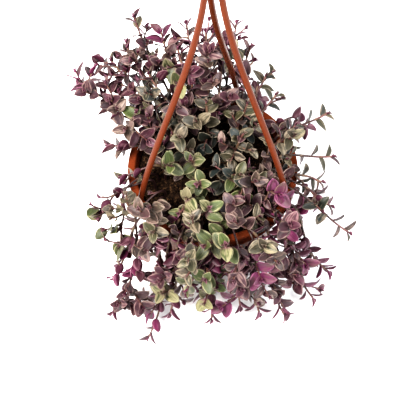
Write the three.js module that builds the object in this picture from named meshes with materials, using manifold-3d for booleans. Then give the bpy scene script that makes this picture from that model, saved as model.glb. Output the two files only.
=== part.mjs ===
// Potted callisia (turtle vine) in a 15 cm plastic hanging pot.
// Millimetres, +Z up. The origin is the middle of the pot's foot, on the surface it stands on.
import * as THREE from 'three';
import Module from 'manifold-3d';

const wasm = await Module();
wasm.setup();

// ---------------------------------------------------------------- driving dimensions

const gap = 0.3; // between pieces that touch
const rimZ = 118; // top of the rim
const rimR = 75;
const footR = 52;
const collarHeight = 12;
const flangeThickness = 2;
const wall = 1.6;
const wallTopR = 69.6; // outside of the wall under the rim
const skirtInnerR = 73.8;
const potSides = 28;
const floorThickness = 2.2;
const drainCount = 6;
const drainR = 4;
const drainCircleR = 30;

const soilZ = 109; // top of the soil at the wall
const soilCrown = 4; // how much higher its middle is
const rootDepth = 12; // how far a stem stands in its hole

const armBearings = [71, 209, 334]; // degrees, seen from above
const armSeatR = 71.6;
const armTopR = 6.4;
const armTopZ = 384;
const armTwist = 32; // degrees by which the arms' top is turned against the rim
const armLean = -2.6; // how far their top stands to the side
const armStart = 0.1; // how much they lean outward at their top: 1 as much as straight arms
const armBow = 2.1; // how fast the lean grows from there; with armStart 1 and armBow 0 they are straight
const armWidth = 5;
const armThickness = 4.4;
const armSteps = 10;
const armFootThickness = 1.8;
const armFootLength = 12; // below the rim
const barbHeight = 3;
const bossHeight = 13; // of the round piece that the arms run into
const neckLength = 16; // from the arms' top to the hook
const hookInnerR = 14;
const hookBand = 5.5;
const hookThickness = 5;
const hookFacets = 13; // 20 degrees each, so that one lies level at the top of its inside

const arch = 18; // half the length of the arch of a stem that hangs over the rim
const arriveShare = 0.42; // share of the way over which a rising stem takes its last slope
const fallShare = 0.4; // the same for a stem that falls from its arch
const stemR = 1.3; // to the corners of its square section
const stemTipR = 0.95;
const stemBend = 0.7; // how far a stem's middle line may leave the line between two rings
const nodeHeight = 0.9; // how thick a leaf's foot is on the stem
const leafLength = 13.5;
const leafWidth = 8.6;
const leafThickness = 0.7;

// How far in degrees a blade rises towards the tip, for the leaves counted from the tip.
const openLeaves = [42, 30, 22, 18, 15, 15];
const foldedLeaves = [55, 46, 36, 28, 22, 17];

// Where the stems end: x, y, z of the tip and the slope in degrees at which it points.
const sprays = {
  left: {
    lift: 46,
    turn: 0.1,
    drift: 15,
    rise: foldedLeaves,
    tips: [
      [-119, 64, 154, 20], [-90, 80, 165, 40], [-76, 88, 174, 55], [-70, 110, 189, 65],
      [-44, 92, 178, 60], [-97, 44, 145, 15], [-92, 13, 132, 5], [-80, -18, 130, 0],
      [-102, -36, 98, -15],
    ],
  },
  fringe: {
    lift: 34,
    turn: 0.05,
    drift: 15,
    rise: foldedLeaves,
    tips: [
      [-92, -98, 18, -25], [-58, -118, 9, -12], [-88, -78, 52, -50], [-38, -102, 26, -40],
      [0, -102, 14, -30], [26, -98, 34, -45], [44, -96, 16, -30], [68, -97, 11, -20],
      [94, -82, 18, -30], [108, -60, 30, -30], [84, -70, 62, -45],
    ],
  },
  rosettes: {
    lift: 32,
    turn: 0.75,
    drift: 40,
    rise: openLeaves,
    tips: [
      [18, -84, 96, -45], [-44, -88, 66, -50], [-6, -94, 70, -50], [50, -76, 88, -45],
      [-70, -66, 84, -35], [-18, -84, 100, -45], [-84, -48, 86, -25],
    ],
  },
  right: {
    lift: 42,
    turn: 0.35,
    drift: 20,
    rise: openLeaves,
    tips: [
      [100, 36, 150, 30], [105, 3, 132, 15], [96, -16, 120, 5], [120, -56, 100, -10],
      [46, 65, 165, 50], [55, 50, 158, 45], [72, 26, 147, 30], [64, -46, 138, 20],
      [104, -36, 112, 0],
    ],
  },
  top: {
    lift: 62,
    turn: 0,
    drift: 12,
    rise: foldedLeaves,
    tips: [
      [20, 108, 184, 40], [30, 90, 168, 30], [-7, 99, 183, 45], [-24, 104, 188, 50],
      [-31, 80, 184, 60], [8, 78, 172, 40], [-56, 60, 174, 60],
    ],
  },
  crown: {
    lift: 26,
    turn: 0.6,
    drift: 40,
    rise: openLeaves,
    tips: [
      [-19, -13, 152, 70], [-13, -36, 148, 55], [-28, -56, 134, 30], [26, 6, 164, 75],
      [24, -30, 156, 55], [42, -34, 145, 40], [-6, 32, 174, 75], [-42, 20, 164, 65],
      [30, 36, 166, 65], [-46, -6, 130, 20],
    ],
  },
  back: {
    lift: 36,
    turn: 0.1,
    drift: 15,
    rise: foldedLeaves,
    tips: [
      [-70, 84, 84, -35], [-16, 112, 70, -35], [46, 100, 76, -35], [88, 60, 92, -25],
    ],
  },
};

const colours = {
  pot: 0xb4532f,
  hanger: 0xb4532f,
  soil: 0x2a1d16,
  green: 0x7f8a5c,
  grey: 0x7b7d6a,
  magenta: 0x7a3560,
};
const stemColour = {
  left: 'magenta', fringe: 'magenta', rosettes: 'green', right: 'grey',
  top: 'magenta', crown: 'green', back: 'magenta',
};

// ---------------------------------------------------------------- small helpers

const radians = Math.PI / 180;
const up = new THREE.Vector3(0, 0, 1);

// The same number between 0 and 1 for the same n, in any program.
function chance(n) {
  const s = Math.sin(n * 12.9898) * 43758.5453;
  return s - Math.floor(s);
}

function mix(a, b, t) {
  return a + (b - a) * t;
}

function polar(radius, bearing, z) {
  return new THREE.Vector3(radius * Math.cos(bearing), radius * Math.sin(bearing), z);
}

function manifoldFrom(positions, triangles) {
  const mesh = new wasm.Mesh({
    numProp: 3,
    vertProperties: new Float32Array(positions),
    triVerts: new Uint32Array(triangles),
  });
  return new wasm.Manifold(mesh);
}

function geometryFrom(solid) {
  const mesh = solid.getMesh();
  const geometry = new THREE.BufferGeometry();
  geometry.setAttribute('position', new THREE.BufferAttribute(new Float32Array(mesh.vertProperties), 3));
  geometry.setIndex(new THREE.BufferAttribute(new Uint32Array(mesh.triVerts), 1));
  geometry.computeVertexNormals();
  return geometry;
}

// A closed solid through rings of equal count; each ring runs the same way round.
function loft(rings) {
  const sides = rings[0].length;
  const positions = [];
  const triangles = [];
  for (const ring of rings) {
    for (const p of ring) positions.push(p.x, p.y, p.z);
  }
  for (let r = 0; r + 1 < rings.length; r += 1) {
    for (let s = 0; s < sides; s += 1) {
      const a = r * sides + s;
      const b = r * sides + ((s + 1) % sides);
      triangles.push(a, b, b + sides, a, b + sides, a + sides);
    }
  }
  const last = (rings.length - 1) * sides;
  for (let s = 1; s + 1 < sides; s += 1) {
    triangles.push(0, s + 1, s);
    triangles.push(last, last + s, last + s + 1);
  }
  return manifoldFrom(positions, triangles);
}

// A solid of revolution about Z from [radius, z] points that start and end on the axis.
function turned(profile, sides) {
  const positions = [];
  const triangles = [];
  const first = 0;
  positions.push(0, 0, profile[0][1]);
  for (const [radius, z] of profile.slice(1, -1)) {
    for (let s = 0; s < sides; s += 1) {
      const p = polar(radius, (2 * Math.PI * s) / sides, z);
      positions.push(p.x, p.y, p.z);
    }
  }
  const last = positions.length / 3;
  positions.push(0, 0, profile[profile.length - 1][1]);
  const rings = profile.length - 2;
  for (let s = 0; s < sides; s += 1) {
    const next = (s + 1) % sides;
    triangles.push(first, 1 + next, 1 + s);
    for (let r = 0; r + 1 < rings; r += 1) {
      const a = 1 + r * sides + s;
      const b = 1 + r * sides + next;
      triangles.push(a, b, b + sides, a, b + sides, a + sides);
    }
    const top = 1 + (rings - 1) * sides;
    triangles.push(top + s, top + next, last);
  }
  return manifoldFrom(positions, triangles);
}

function box(width, depth, height) {
  return wasm.Manifold.cube([width, depth, height], true);
}

function cylinder(radius, height, sides) {
  return wasm.Manifold.cylinder(height, radius, radius, sides);
}

// ---------------------------------------------------------------- pot

const outsideTaper = (wallTopR - footR) / rimZ;

function wallOutsideR(z) {
  return footR + outsideTaper * z;
}

function slotAt(bearing) {
  const slot = box(armFootThickness + 2 * gap, armWidth + 2 * gap, 4 * flangeThickness);
  return slot.translate([armSeatR, 0, rimZ]).rotate([0, 0, bearing]);
}

function makePot() {
  const profile = [
    [0, 0],
    [footR - 1.5, 0],
    [footR, 1.5],
    [wallOutsideR(rimZ - flangeThickness), rimZ - flangeThickness],
    [skirtInnerR, rimZ - flangeThickness],
    [skirtInnerR, rimZ - collarHeight],
    [rimR - 0.2, rimZ - collarHeight],
    [rimR, rimZ - 1.2],
    [rimR - 1.2, rimZ],
    [wallTopR - 0.6, rimZ],
    [wallTopR - wall, rimZ - 1.2],
    [wallOutsideR(floorThickness) - wall - 1, floorThickness],
    [0, floorThickness],
  ];
  let pot = turned(profile, potSides);
  for (let i = 0; i < drainCount; i += 1) {
    const p = polar(drainCircleR, (2 * Math.PI * (i + 0.5)) / drainCount, -1);
    pot = pot.subtract(cylinder(drainR, floorThickness + 2, 8).translate([p.x, p.y, p.z]));
  }
  for (const bearing of armBearings) pot = pot.subtract(slotAt(bearing));
  return pot;
}

// ---------------------------------------------------------------- hanger

// A point on the middle line of an arm: t is 0 at its top and 1 at the rim.
function armPoint(bearing, t) {
  const share = armStart * t + armBow * t * t + (1 - armStart - armBow) * t * t * t;
  const top = polar(armTopR, (bearing + armTwist) * radians, 0).add(new THREE.Vector3(armLean, 0, 0));
  const seat = polar(armSeatR, bearing * radians, 0);
  return top.lerp(seat, share).setZ(mix(armTopZ, rimZ + gap + 0.1, t));
}

function makeArm(bearing) {
  const across = polar(1, (bearing + 90) * radians, 0);
  const outline = [
    [armWidth / 2, 0], [armWidth / 4, armThickness / 2], [-armWidth / 4, armThickness / 2],
    [-armWidth / 2, 0], [-armWidth / 4, -armThickness / 2], [armWidth / 4, -armThickness / 2],
  ];
  const rings = [];
  for (let i = 0; i <= armSteps; i += 1) {
    const t = i / armSteps;
    const along = armPoint(bearing, t + 0.01).sub(armPoint(bearing, t - 0.01)).normalize();
    if (i === armSteps) along.set(0, 0, -1);
    const depth = new THREE.Vector3().crossVectors(along, across);
    const middle = armPoint(bearing, t);
    rings.push(outline.map(([u, v]) => middle.clone().addScaledVector(across, u).addScaledVector(depth, v)));
  }
  return loft(rings);
}

// The arm's foot drops through the slot in the rim and catches under it.
function makeArmFoot(bearing) {
  const top = rimZ + 2; // inside the end of the arm
  const shank = box(armFootThickness, armWidth, armFootLength + 2);
  const barb = box(1, armWidth, barbHeight);
  const foot = shank.translate([armSeatR, 0, top - (armFootLength + 2) / 2]);
  const barbZ = rimZ - flangeThickness - 0.5 - barbHeight / 2;
  return foot.add(barb.translate([armSeatR + armFootThickness / 2 + 0.1, 0, barbZ])).rotate([0, 0, bearing]);
}

// A flat hook: its band runs from the neck round the left side and over the top.
function makeHook() {
  const step = 20 * radians;
  const centreZ = armTopZ + neckLength + hookInnerR + hookBand;
  const facetR = hookInnerR / Math.cos(step / 2);
  const shape = new THREE.Shape();
  for (let i = 0; i <= hookFacets; i += 1) {
    const x = facetR * Math.cos(i * step);
    const y = facetR * Math.sin(i * step);
    if (i === 0) shape.moveTo(x, y);
    else shape.lineTo(x, y);
  }
  const outerR = facetR + hookBand;
  for (let i = hookFacets; i >= 0; i -= 1) {
    shape.lineTo(outerR * Math.cos(i * step), outerR * Math.sin(i * step));
  }
  const plate = new THREE.ExtrudeGeometry(shape, { depth: hookThickness, bevelEnabled: false, steps: 1 });
  const upright = manifoldFromGeometry(plate).rotate([90, 0, 0]);
  const band = upright.translate([armLean, hookThickness / 2, centreZ]);
  const neckHeight = centreZ - hookInnerR - armTopZ;
  const neck = box(hookBand, hookThickness, neckHeight);
  return band.add(neck.translate([armLean - 0.6, 0, centreZ - hookInnerR - neckHeight / 2 - 0.6]));
}

function manifoldFromGeometry(geometry) {
  const position = geometry.getAttribute('position');
  const seen = new Map();
  const positions = [];
  const triangles = [];
  for (let i = 0; i < position.count; i += 1) {
    const p = [position.getX(i), position.getY(i), position.getZ(i)];
    const key = p.map((v) => v.toFixed(4)).join(' ');
    if (!seen.has(key)) {
      seen.set(key, positions.length / 3);
      positions.push(...p);
    }
    triangles.push(seen.get(key));
  }
  return manifoldFrom(positions, triangles);
}

function makeHanger() {
  const boss = cylinder(armTopR + armThickness, bossHeight, 10);
  const pieces = [boss.translate([armLean, 0, armTopZ - bossHeight / 2]), makeHook()];
  for (const bearing of armBearings) {
    pieces.push(makeArm(bearing));
    pieces.push(makeArmFoot(bearing));
  }
  return wasm.Manifold.union(pieces);
}

// ---------------------------------------------------------------- stem routes

const routeSamples = 60;

function bezier(a, b, c, d, t) {
  const s = 1 - t;
  const p = a.clone().multiplyScalar(s * s * s);
  p.addScaledVector(b, 3 * s * s * t);
  p.addScaledVector(c, 3 * s * t * t);
  return p.addScaledVector(d, t * t * t);
}

function soilTopAt(radius) {
  const edge = wallOutsideR(soilZ) - wall;
  return soilZ + soilCrown * (1 - (radius / edge) ** 2);
}

// A stem's middle line, from the soil to its tip. A stem whose tip is lower than the rim
// first arches over the rim; the others rise in one sweep.
function stemRoute(root, tip, slope, lift, crestRise, crestBearing) {
  const start = new THREE.Vector3(root.x, root.y, soilTopAt(Math.hypot(root.x, root.y)) + 1);
  const outward = new THREE.Vector3(tip.x - root.x, tip.y - root.y, 0).normalize();
  const reach = start.distanceTo(tip);
  const heading = outward.clone().multiplyScalar(Math.cos(slope * radians));
  heading.addScaledVector(up, Math.sin(slope * radians));
  const rise = start.clone().addScaledVector(up, lift);
  const points = [];
  const tipR = Math.hypot(tip.x, tip.y);
  const overRim = tipR > rimR && tip.z < rimZ + 8;
  const crestR = rimR + 3;
  const crest = polar(crestR, crestBearing, rimZ + crestRise);
  const level = Math.min(0.5 * (tipR - crestR) + 6, arch);
  for (let i = 0; i <= routeSamples; i += 1) {
    const t = i / routeSamples;
    if (!overRim) {
      points.push(bezier(start, rise, tip.clone().addScaledVector(heading, -arriveShare * reach), tip, t));
    } else if (t < 0.5) {
      const back = crest.clone().addScaledVector(outward, -arch);
      points.push(bezier(start, start.clone().addScaledVector(up, 0.5 * lift), back, crest, 2 * t));
    } else {
      const ahead = crest.clone().addScaledVector(outward, level);
      const fall = fallShare * crest.distanceTo(tip);
      points.push(bezier(crest, ahead, tip.clone().addScaledVector(heading, -fall), tip, 2 * t - 1));
    }
  }
  return points;
}

function nearest(pointsA, pointsB) {
  let best = Infinity;
  for (const a of pointsA) {
    for (const b of pointsB) best = Math.min(best, a.distanceToSquared(b));
  }
  return Math.sqrt(best);
}

// How far a point stays from the rim's flange and collar.
function rimDistance(point) {
  const radius = Math.hypot(point.x, point.y);
  const across = Math.max(radius - rimR, wallTopR - wall - radius, 0);
  const above = Math.max(point.z - rimZ, rimZ - collarHeight - point.z, 0);
  return Math.hypot(across, above);
}

const armLines = armBearings.map((bearing) => {
  const points = [];
  for (let i = 0; i <= 80; i += 1) points.push(armPoint(bearing, i / 80));
  return points;
});

// What a stem tries in turn until it runs clear of the stems before it: its root further
// in, its arch higher, its root turned aside. Each is an amount added, in mm or degrees.
const rootSteps = [0, -6, -12, 4];
const liftSteps = [0, 5, 10, -6];
const turnSteps = [0, 6, -6, 12, -12, 18, -18, 25, -25];
const freeWidth = 3.7; // between two middle lines
const crestTurn = 0.5; // share of the root's turn that the arch over the rim follows

function tryStem(tip, slope, lift, rootStep, liftStep, turnStep) {
  const rootR = Math.min(8 + 0.42 * Math.hypot(tip.x, tip.y), 60) + rootStep;
  const bearing = Math.atan2(tip.y, tip.x);
  const root = polar(Math.max(Math.min(rootR, 61), 5), bearing + turnStep * radians, 0);
  const crestBearing = bearing + crestTurn * turnStep * radians;
  return stemRoute(root, tip, slope, lift + liftStep, 8 + 0.8 * liftStep, crestBearing);
}

function roomAround(points, stems) {
  let room = Infinity;
  for (const other of stems) room = Math.min(room, nearest(points, other.points));
  for (const line of armLines) room = Math.min(room, nearest(points, line) - 2);
  return Math.min(room, ...points.map((point) => rimDistance(point) + 1.5));
}

function findRoute([x, y, z, slope], lift, stems) {
  const tip = new THREE.Vector3(x, y, z);
  let best = { room: -Infinity };
  for (const rootStep of rootSteps) {
    for (const liftStep of liftSteps) {
      for (const turnStep of turnSteps) {
        const points = tryStem(tip, slope, lift, rootStep, liftStep, turnStep);
        const room = roomAround(points, stems);
        if (room > best.room) best = { room, points };
        if (room > freeWidth) return best;
      }
    }
  }
  return best;
}

function plantStems() {
  const stems = [];
  for (const [group, spray] of Object.entries(sprays)) {
    spray.tips.forEach((row, index) => {
      const { points } = findRoute(row, spray.lift, stems);
      const name = `stem_${group}_${index + 1}`;
      stems.push({ name, group, points, seed: 100 * stems.length });
    });
  }
  return stems;
}

// ---------------------------------------------------------------- stems and leaves

// The stem's middle line by length: where it is, and where it heads, at each distance.
function walk(points) {
  const lengths = [0];
  for (let i = 1; i < points.length; i += 1) {
    lengths.push(lengths[i - 1] + points[i].distanceTo(points[i - 1]));
  }
  const total = lengths[lengths.length - 1];
  return {
    total,
    at(distance) {
      const d = Math.min(Math.max(distance, 0), total);
      let i = 1;
      while (i < points.length - 1 && lengths[i] < d) i += 1;
      const t = (d - lengths[i - 1]) / (lengths[i] - lengths[i - 1]);
      const point = points[i - 1].clone().lerp(points[i], t);
      const ahead = points[i].clone().sub(points[i - 1]).normalize();
      return { point, ahead };
    },
  };
}

// For the leaves counted from the tip: the distance to the tip and the share of full size.
const leafSpacing = [3, 6.5, 12, 19.5, 28.5, 38.5];
const leafShare = [0.8, 0.95, 1, 1, 1, 0.95];
const leafNumbers = leafSpacing.map((_, k) => k);
const light = new THREE.Vector3(0, -0.35, 0.94);

// The angle round the stem at which the k-th leaf stands, in radians.
function leafTwist(stem, k) {
  return (180 * k + sprays[stem.group].drift * k + 30 * (chance(stem.seed + k) - 0.5)) * radians;
}

function sideways(ahead, seed) {
  const level = new THREE.Vector3().crossVectors(ahead, up);
  if (level.length() < 0.3) level.set(Math.cos(seed), Math.sin(seed), 0);
  return level.addScaledVector(ahead, -level.dot(ahead)).normalize();
}

// Where the k-th leaf of a stem stands: its foot, its axis, its upper side and its size.
function leafPlace(stem, path, k, extraTwist) {
  const { point, ahead } = path.at(path.total - leafSpacing[k]);
  const side = sideways(ahead, stem.seed);
  const other = new THREE.Vector3().crossVectors(ahead, side);
  const twist = leafTwist(stem, k) + extraTwist * radians;
  const outward = side.multiplyScalar(Math.cos(twist)).addScaledVector(other, Math.sin(twist));
  const rise = (sprays[stem.group].rise[k] + 16 * (chance(stem.seed + k + 31) - 0.5)) * radians;
  const axis = outward.clone().multiplyScalar(Math.cos(rise)).addScaledVector(ahead, Math.sin(rise));
  const face = ahead.clone().multiplyScalar(Math.cos(rise)).addScaledVector(outward, -Math.sin(rise));
  const lit = light.clone().addScaledVector(axis, -light.dot(axis));
  const turn = Math.min(face.angleTo(lit) * sprays[stem.group].turn, 55 * radians);
  const sense = Math.sign(new THREE.Vector3().crossVectors(face, lit).dot(axis));
  face.applyAxisAngle(axis, sense * turn);
  const size = leafShare[k] * mix(0.88, 1.1, chance(stem.seed + k + 57));
  return { point, axis, face, size };
}

// The corners of a blade on one face, round from its right edge over the tip to its left
// edge, and the middle of its midrib: a boat shape whose pointed tip bends down.
function bladeCorners(place, face) {
  const length = leafLength * place.size;
  const half = (leafWidth * place.size) / 2;
  const lift = (face * leafThickness) / 2;
  const across = new THREE.Vector3().crossVectors(place.face, place.axis);
  const at = (x, y, z) => place.point.clone()
    .addScaledVector(place.axis, x).addScaledVector(across, y).addScaledVector(place.face, z);
  return {
    edge: [
      at(0.28 * length, -half * 0.94, 0.5 + lift), at(0.62 * length, -half * 0.84, 0.4 + lift),
      at(length, 0, -0.9),
      at(0.62 * length, half * 0.84, 0.4 + lift), at(0.28 * length, half * 0.94, 0.5 + lift),
    ],
    middle: at(0.42 * length, 0, -0.5 + lift),
  };
}

// The faces of a blade between its foot's upper and lower edge, each given as the right
// and the left corner. add(point) returns a corner's number.
function growBlade(place, footUpper, footLower, add, triangles) {
  const upper = bladeCorners(place, 1);
  const lower = bladeCorners(place, -1);
  const tip = add(upper.edge[2]);
  const number = (p, i) => (i === 2 ? tip : add(p));
  const top = [footUpper[0], ...upper.edge.map(number), footUpper[1]];
  const bottom = [footLower[0], ...lower.edge.map(number), footLower[1]];
  const topMiddle = add(upper.middle);
  const bottomMiddle = add(lower.middle);
  const count = top.length;
  for (let i = 0; i < count; i += 1) {
    const next = (i + 1) % count;
    triangles.push(topMiddle, top[i], top[next]);
    triangles.push(bottomMiddle, bottom[next], bottom[i]);
    if (next === 0) continue;
    if (top[next] !== bottom[next]) triangles.push(bottom[i], bottom[next], top[next]);
    if (top[i] !== bottom[i]) triangles.push(bottom[i], top[next], top[i]);
  }
}

function cornerList() {
  const positions = [];
  return {
    positions,
    add(p) {
      positions.push(p.x, p.y, p.z);
      return positions.length / 3 - 1;
    },
  };
}

// The blade as a solid of its own, cut off just outside the stem, to test its room.
function testBlade(place) {
  const { positions, add } = cornerList();
  const triangles = [];
  const across = new THREE.Vector3().crossVectors(place.face, place.axis);
  const foot = [1, -1].map((face) => [-0.8, 0.8].map((y) => add(
    place.point.clone().addScaledVector(place.axis, stemR + 0.2)
      .addScaledVector(across, y).addScaledVector(place.face, 0.4 * face),
  )));
  growBlade(place, foot[0], foot[1], add, triangles);
  triangles.push(foot[1][0], foot[0][0], foot[0][1], foot[1][0], foot[0][1], foot[1][1]);
  return manifoldFrom(positions, triangles);
}

// Distances along a stem, up to the end given, at which its bends ask for a ring.
function bendStations(path, end) {
  const step = 3;
  const stations = [];
  let from = 0;
  for (let to = 2 * step; to < end; to += step) {
    const chord = new THREE.Line3(path.at(from).point, path.at(to).point);
    let bend = 0;
    for (let s = from + step; s < to; s += step) {
      const { point } = path.at(s);
      const foot = chord.closestPointToPoint(point, true, new THREE.Vector3());
      bend = Math.max(bend, foot.distanceTo(point));
    }
    if (bend > stemBend) {
      from = to - step;
      stations.push(from);
    }
  }
  return stations;
}

// The square rings of a stem from its root end up. At each leaf two rings lie close
// together and turn one side of the square towards the leaf.
function stemRings(stem) {
  const path = walk(stem.points);
  const start = stem.points[0];
  const rings = [
    { point: start.clone().setZ(start.z - rootDepth), ahead: up, radius: stemR, turn: 0 },
    { point: start, ahead: up, radius: stemR, turn: 0 },
  ];
  const upwards = [...leafNumbers].reverse();
  const lowest = path.total - leafSpacing[upwards[0]];
  const stations = bendStations(path, lowest - 3).map((s) => ({ s }));
  for (const k of upwards) {
    const s = path.total - leafSpacing[k];
    stations.push({ s: s - nodeHeight / 2, leaf: k });
    stations.push({ s: s + nodeHeight / 2, above: true });
  }
  let side = new THREE.Vector3(1, 0, 0);
  let turn = 0;
  for (const { s, leaf, above } of stations) {
    const { point, ahead } = path.at(s);
    side = side.clone().addScaledVector(ahead, -side.dot(ahead)).normalize();
    const ring = { point, ahead, radius: mix(stemR, stemTipR, s / path.total), leaf };
    if (leaf !== undefined) {
      const other = new THREE.Vector3().crossVectors(ahead, side);
      const level = sideways(ahead, stem.seed);
      const angle = Math.atan2(level.dot(other), level.dot(side)) + leafTwist(stem, leaf);
      const quarter = Math.PI / 2;
      ring.facing = Math.round((angle - turn) / quarter);
      turn = angle - ring.facing * quarter;
    }
    if (above) ring.ahead = rings[rings.length - 1].ahead;
    ring.turn = turn;
    rings.push(ring);
  }
  return { rings, tip: path.at(path.total).point };
}

function ringCorners(ring, side) {
  const other = new THREE.Vector3().crossVectors(ring.ahead, side);
  return [0, 1, 2, 3].map((c) => {
    const a = ring.turn + (c - 0.5) * (Math.PI / 2);
    return ring.point.clone().addScaledVector(side, ring.radius * Math.cos(a))
      .addScaledVector(other, ring.radius * Math.sin(a));
  });
}

// The stem with the given leaves grown out of it, as one closed body.
function makeLeafyStem(stem, places) {
  const { rings, tip } = stemRings(stem);
  const { positions, add } = cornerList();
  const triangles = [];
  let side = new THREE.Vector3(1, 0, 0);
  const numbers = rings.map((ring) => {
    side = side.clone().addScaledVector(ring.ahead, -side.dot(ring.ahead)).normalize();
    return ringCorners(ring, side).map(add);
  });
  triangles.push(numbers[0][0], numbers[0][3], numbers[0][2], numbers[0][0], numbers[0][2], numbers[0][1]);
  for (let r = 0; r + 1 < rings.length; r += 1) {
    const place = places.get(rings[r].leaf);
    for (let c = 0; c < 4; c += 1) {
      const next = (c + 1) % 4;
      const low = [numbers[r][c], numbers[r][next]];
      const high = [numbers[r + 1][c], numbers[r + 1][next]];
      if (place && ((rings[r].facing % 4) + 4) % 4 === c) {
        growBlade(place, high, low, add, triangles);
      } else {
        triangles.push(low[0], low[1], high[1], low[0], high[1], high[0]);
      }
    }
  }
  const last = numbers[numbers.length - 1];
  const bud = add(tip);
  for (let c = 0; c < 4; c += 1) triangles.push(last[c], last[(c + 1) % 4], bud);
  return manifoldFrom(positions, triangles);
}

function boxesMeet(a, b, margin) {
  return [0, 1, 2].every((i) => a.min[i] - margin < b.max[i] && b.min[i] - margin < a.max[i]);
}

function obstacle(solid, owner) {
  return { solid, owner, bounds: solid.boundingBox() };
}

// A blade keeps clear of every other piece and of its own stem's blades; it tries other
// turns, and is left off where none is free.
function chooseLeaves(stem, others) {
  const path = walk(stem.points);
  const places = new Map();
  const blades = [];
  for (const k of leafNumbers) {
    for (const extraTwist of [0, 20, -20, 38, -38]) {
      const place = leafPlace(stem, path, k, extraTwist);
      const blade = obstacle(testBlade(place), stem);
      if (blade.bounds.min[2] < 1) continue;
      const near = (item) => boxesMeet(blade.bounds, item.bounds, gap);
      if (others.some((item) => near(item) && blade.solid.minGap(item.solid, 1) < gap)) continue;
      if (blades.some((item) => near(item) && blade.solid.minGap(item.solid, 1) < 0.05)) continue;
      blades.push(blade);
      places.set(k, place);
      break;
    }
  }
  return { places, blades };
}

// ---------------------------------------------------------------- soil

function makeSoil(stems) {
  const edgeTop = wallOutsideR(soilZ) - wall - gap - 0.6;
  const edgeBottom = wallOutsideR(floorThickness) - wall - 1 - gap - 0.6;
  const profile = [
    [0, floorThickness + gap],
    [edgeBottom, floorThickness + gap],
    [edgeTop, soilZ],
    [edgeTop * 0.66, soilTopAt(edgeTop * 0.66)],
    [edgeTop * 0.33, soilTopAt(edgeTop * 0.33)],
    [0, soilZ + soilCrown],
  ];
  const holes = stems.map(({ points }) => {
    const hole = cylinder(stemR + gap * Math.SQRT2, 40, 4).rotate([0, 0, 45]);
    return hole.translate([points[0].x, points[0].y, points[0].z - rootDepth - gap]);
  });
  return turned(profile, potSides).subtract(wasm.Manifold.union(holes));
}

// ---------------------------------------------------------------- the whole part

function named(name, solid, colour, roughness) {
  const material = new THREE.MeshStandardMaterial({ color: colour, roughness, metalness: 0 });
  const mesh = new THREE.Mesh(geometryFrom(solid), material);
  mesh.name = name;
  return mesh;
}

function build() {
  const group = new THREE.Group();
  const stems = plantStems();
  const pot = makePot();
  const hanger = makeHanger();
  const soil = makeSoil(stems);
  group.add(named('pot', pot, colours.pot, 0.55));
  group.add(named('soil', soil, colours.soil, 1));
  group.add(named('hanger', hanger, colours.hanger, 0.5));

  const fixed = [pot, hanger, soil].map((solid) => obstacle(solid, null));
  const bare = stems.map((stem) => obstacle(makeLeafyStem(stem, new Map()), stem));
  const grown = [];
  for (const stem of stems) {
    const others = [...fixed, ...bare, ...grown].filter((item) => item.owner !== stem);
    const { places, blades } = chooseLeaves(stem, others);
    grown.push(...blades);
    group.add(named(stem.name, makeLeafyStem(stem, places), colours[stemColour[stem.group]], 0.7));
  }
  return group;
}

export default build();
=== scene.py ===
# Looks of the potted callisia: fine leafy stems, pot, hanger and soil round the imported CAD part.
import math
from itertools import product

import bpy
import numpy as np
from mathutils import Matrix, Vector, noise


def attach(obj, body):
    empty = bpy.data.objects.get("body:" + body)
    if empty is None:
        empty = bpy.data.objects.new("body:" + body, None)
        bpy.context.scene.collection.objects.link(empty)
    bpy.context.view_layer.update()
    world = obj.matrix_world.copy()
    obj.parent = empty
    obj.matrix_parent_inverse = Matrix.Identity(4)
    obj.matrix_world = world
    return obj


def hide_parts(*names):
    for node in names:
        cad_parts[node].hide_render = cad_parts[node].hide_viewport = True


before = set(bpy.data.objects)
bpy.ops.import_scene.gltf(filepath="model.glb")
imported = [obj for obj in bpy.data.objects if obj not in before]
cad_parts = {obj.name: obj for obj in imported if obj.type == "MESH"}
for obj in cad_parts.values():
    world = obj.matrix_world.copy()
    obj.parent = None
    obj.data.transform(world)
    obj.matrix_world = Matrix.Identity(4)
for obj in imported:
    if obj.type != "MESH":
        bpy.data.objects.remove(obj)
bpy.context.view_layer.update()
scene = bpy.context.scene

MM = 0.001  # the lengths below are in millimetres, and Blender's are in metres

# ---------------------------------------------------------------- the CAD part's dimensions

RIM_Z = 118.0
RIM_R = 75.0
FOOT_R = 52.0
COLLAR_HEIGHT = 12.0
FLANGE = 2.0
WALL = 1.6
WALL_TOP_R = 69.6
SKIRT_INNER_R = 73.8
FLOOR_THICKNESS = 2.2
DRAIN_COUNT, DRAIN_R, DRAIN_CIRCLE_R = 6, 4.0, 30.0
GAP = 0.3

SOIL_Z = 109.0
SOIL_CROWN = 4.0
ROOT_DEPTH = 12.0

ARM_BEARINGS = (71.0, 209.0, 334.0)
ARM_SEAT_R = 71.6
ARM_TOP_R = 6.4
ARM_TOP_Z = 384.0
ARM_TWIST = 32.0
ARM_LEAN = -2.6
ARM_START = 0.1  # how an arm goes outwards on its way down: its slope at the top
ARM_BOW = 2.1  # and how much it bows
ARM_WIDTH = 5.0
ARM_THICKNESS = 4.4
ARM_FOOT_THICKNESS = 1.8
ARM_FOOT_LENGTH = 12.0
BARB_HEIGHT = 3.0
BOSS_HEIGHT = 13.0
NECK_LENGTH = 16.0
HOOK_INNER_R = 14.0
HOOK_BAND = 5.5
HOOK_THICKNESS = 5.0
HOOK_TURN = 260.0

ARCH = 18.0  # half the length of the arch of a stem that hangs over the rim
ARRIVE_SHARE = 0.42  # share of the way over which a rising stem takes its last slope
FALL_SHARE = 0.4  # the same for a stem that falls from its arch
LEAF_LENGTH = 13.5
LEAF_WIDTH = 8.6

# How far in degrees a leaf rises towards the tip, for the leaves counted from the tip.
OPEN = (42, 30, 22, 18, 15, 15)
FOLDED = (55, 46, 36, 28, 22, 17)

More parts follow.
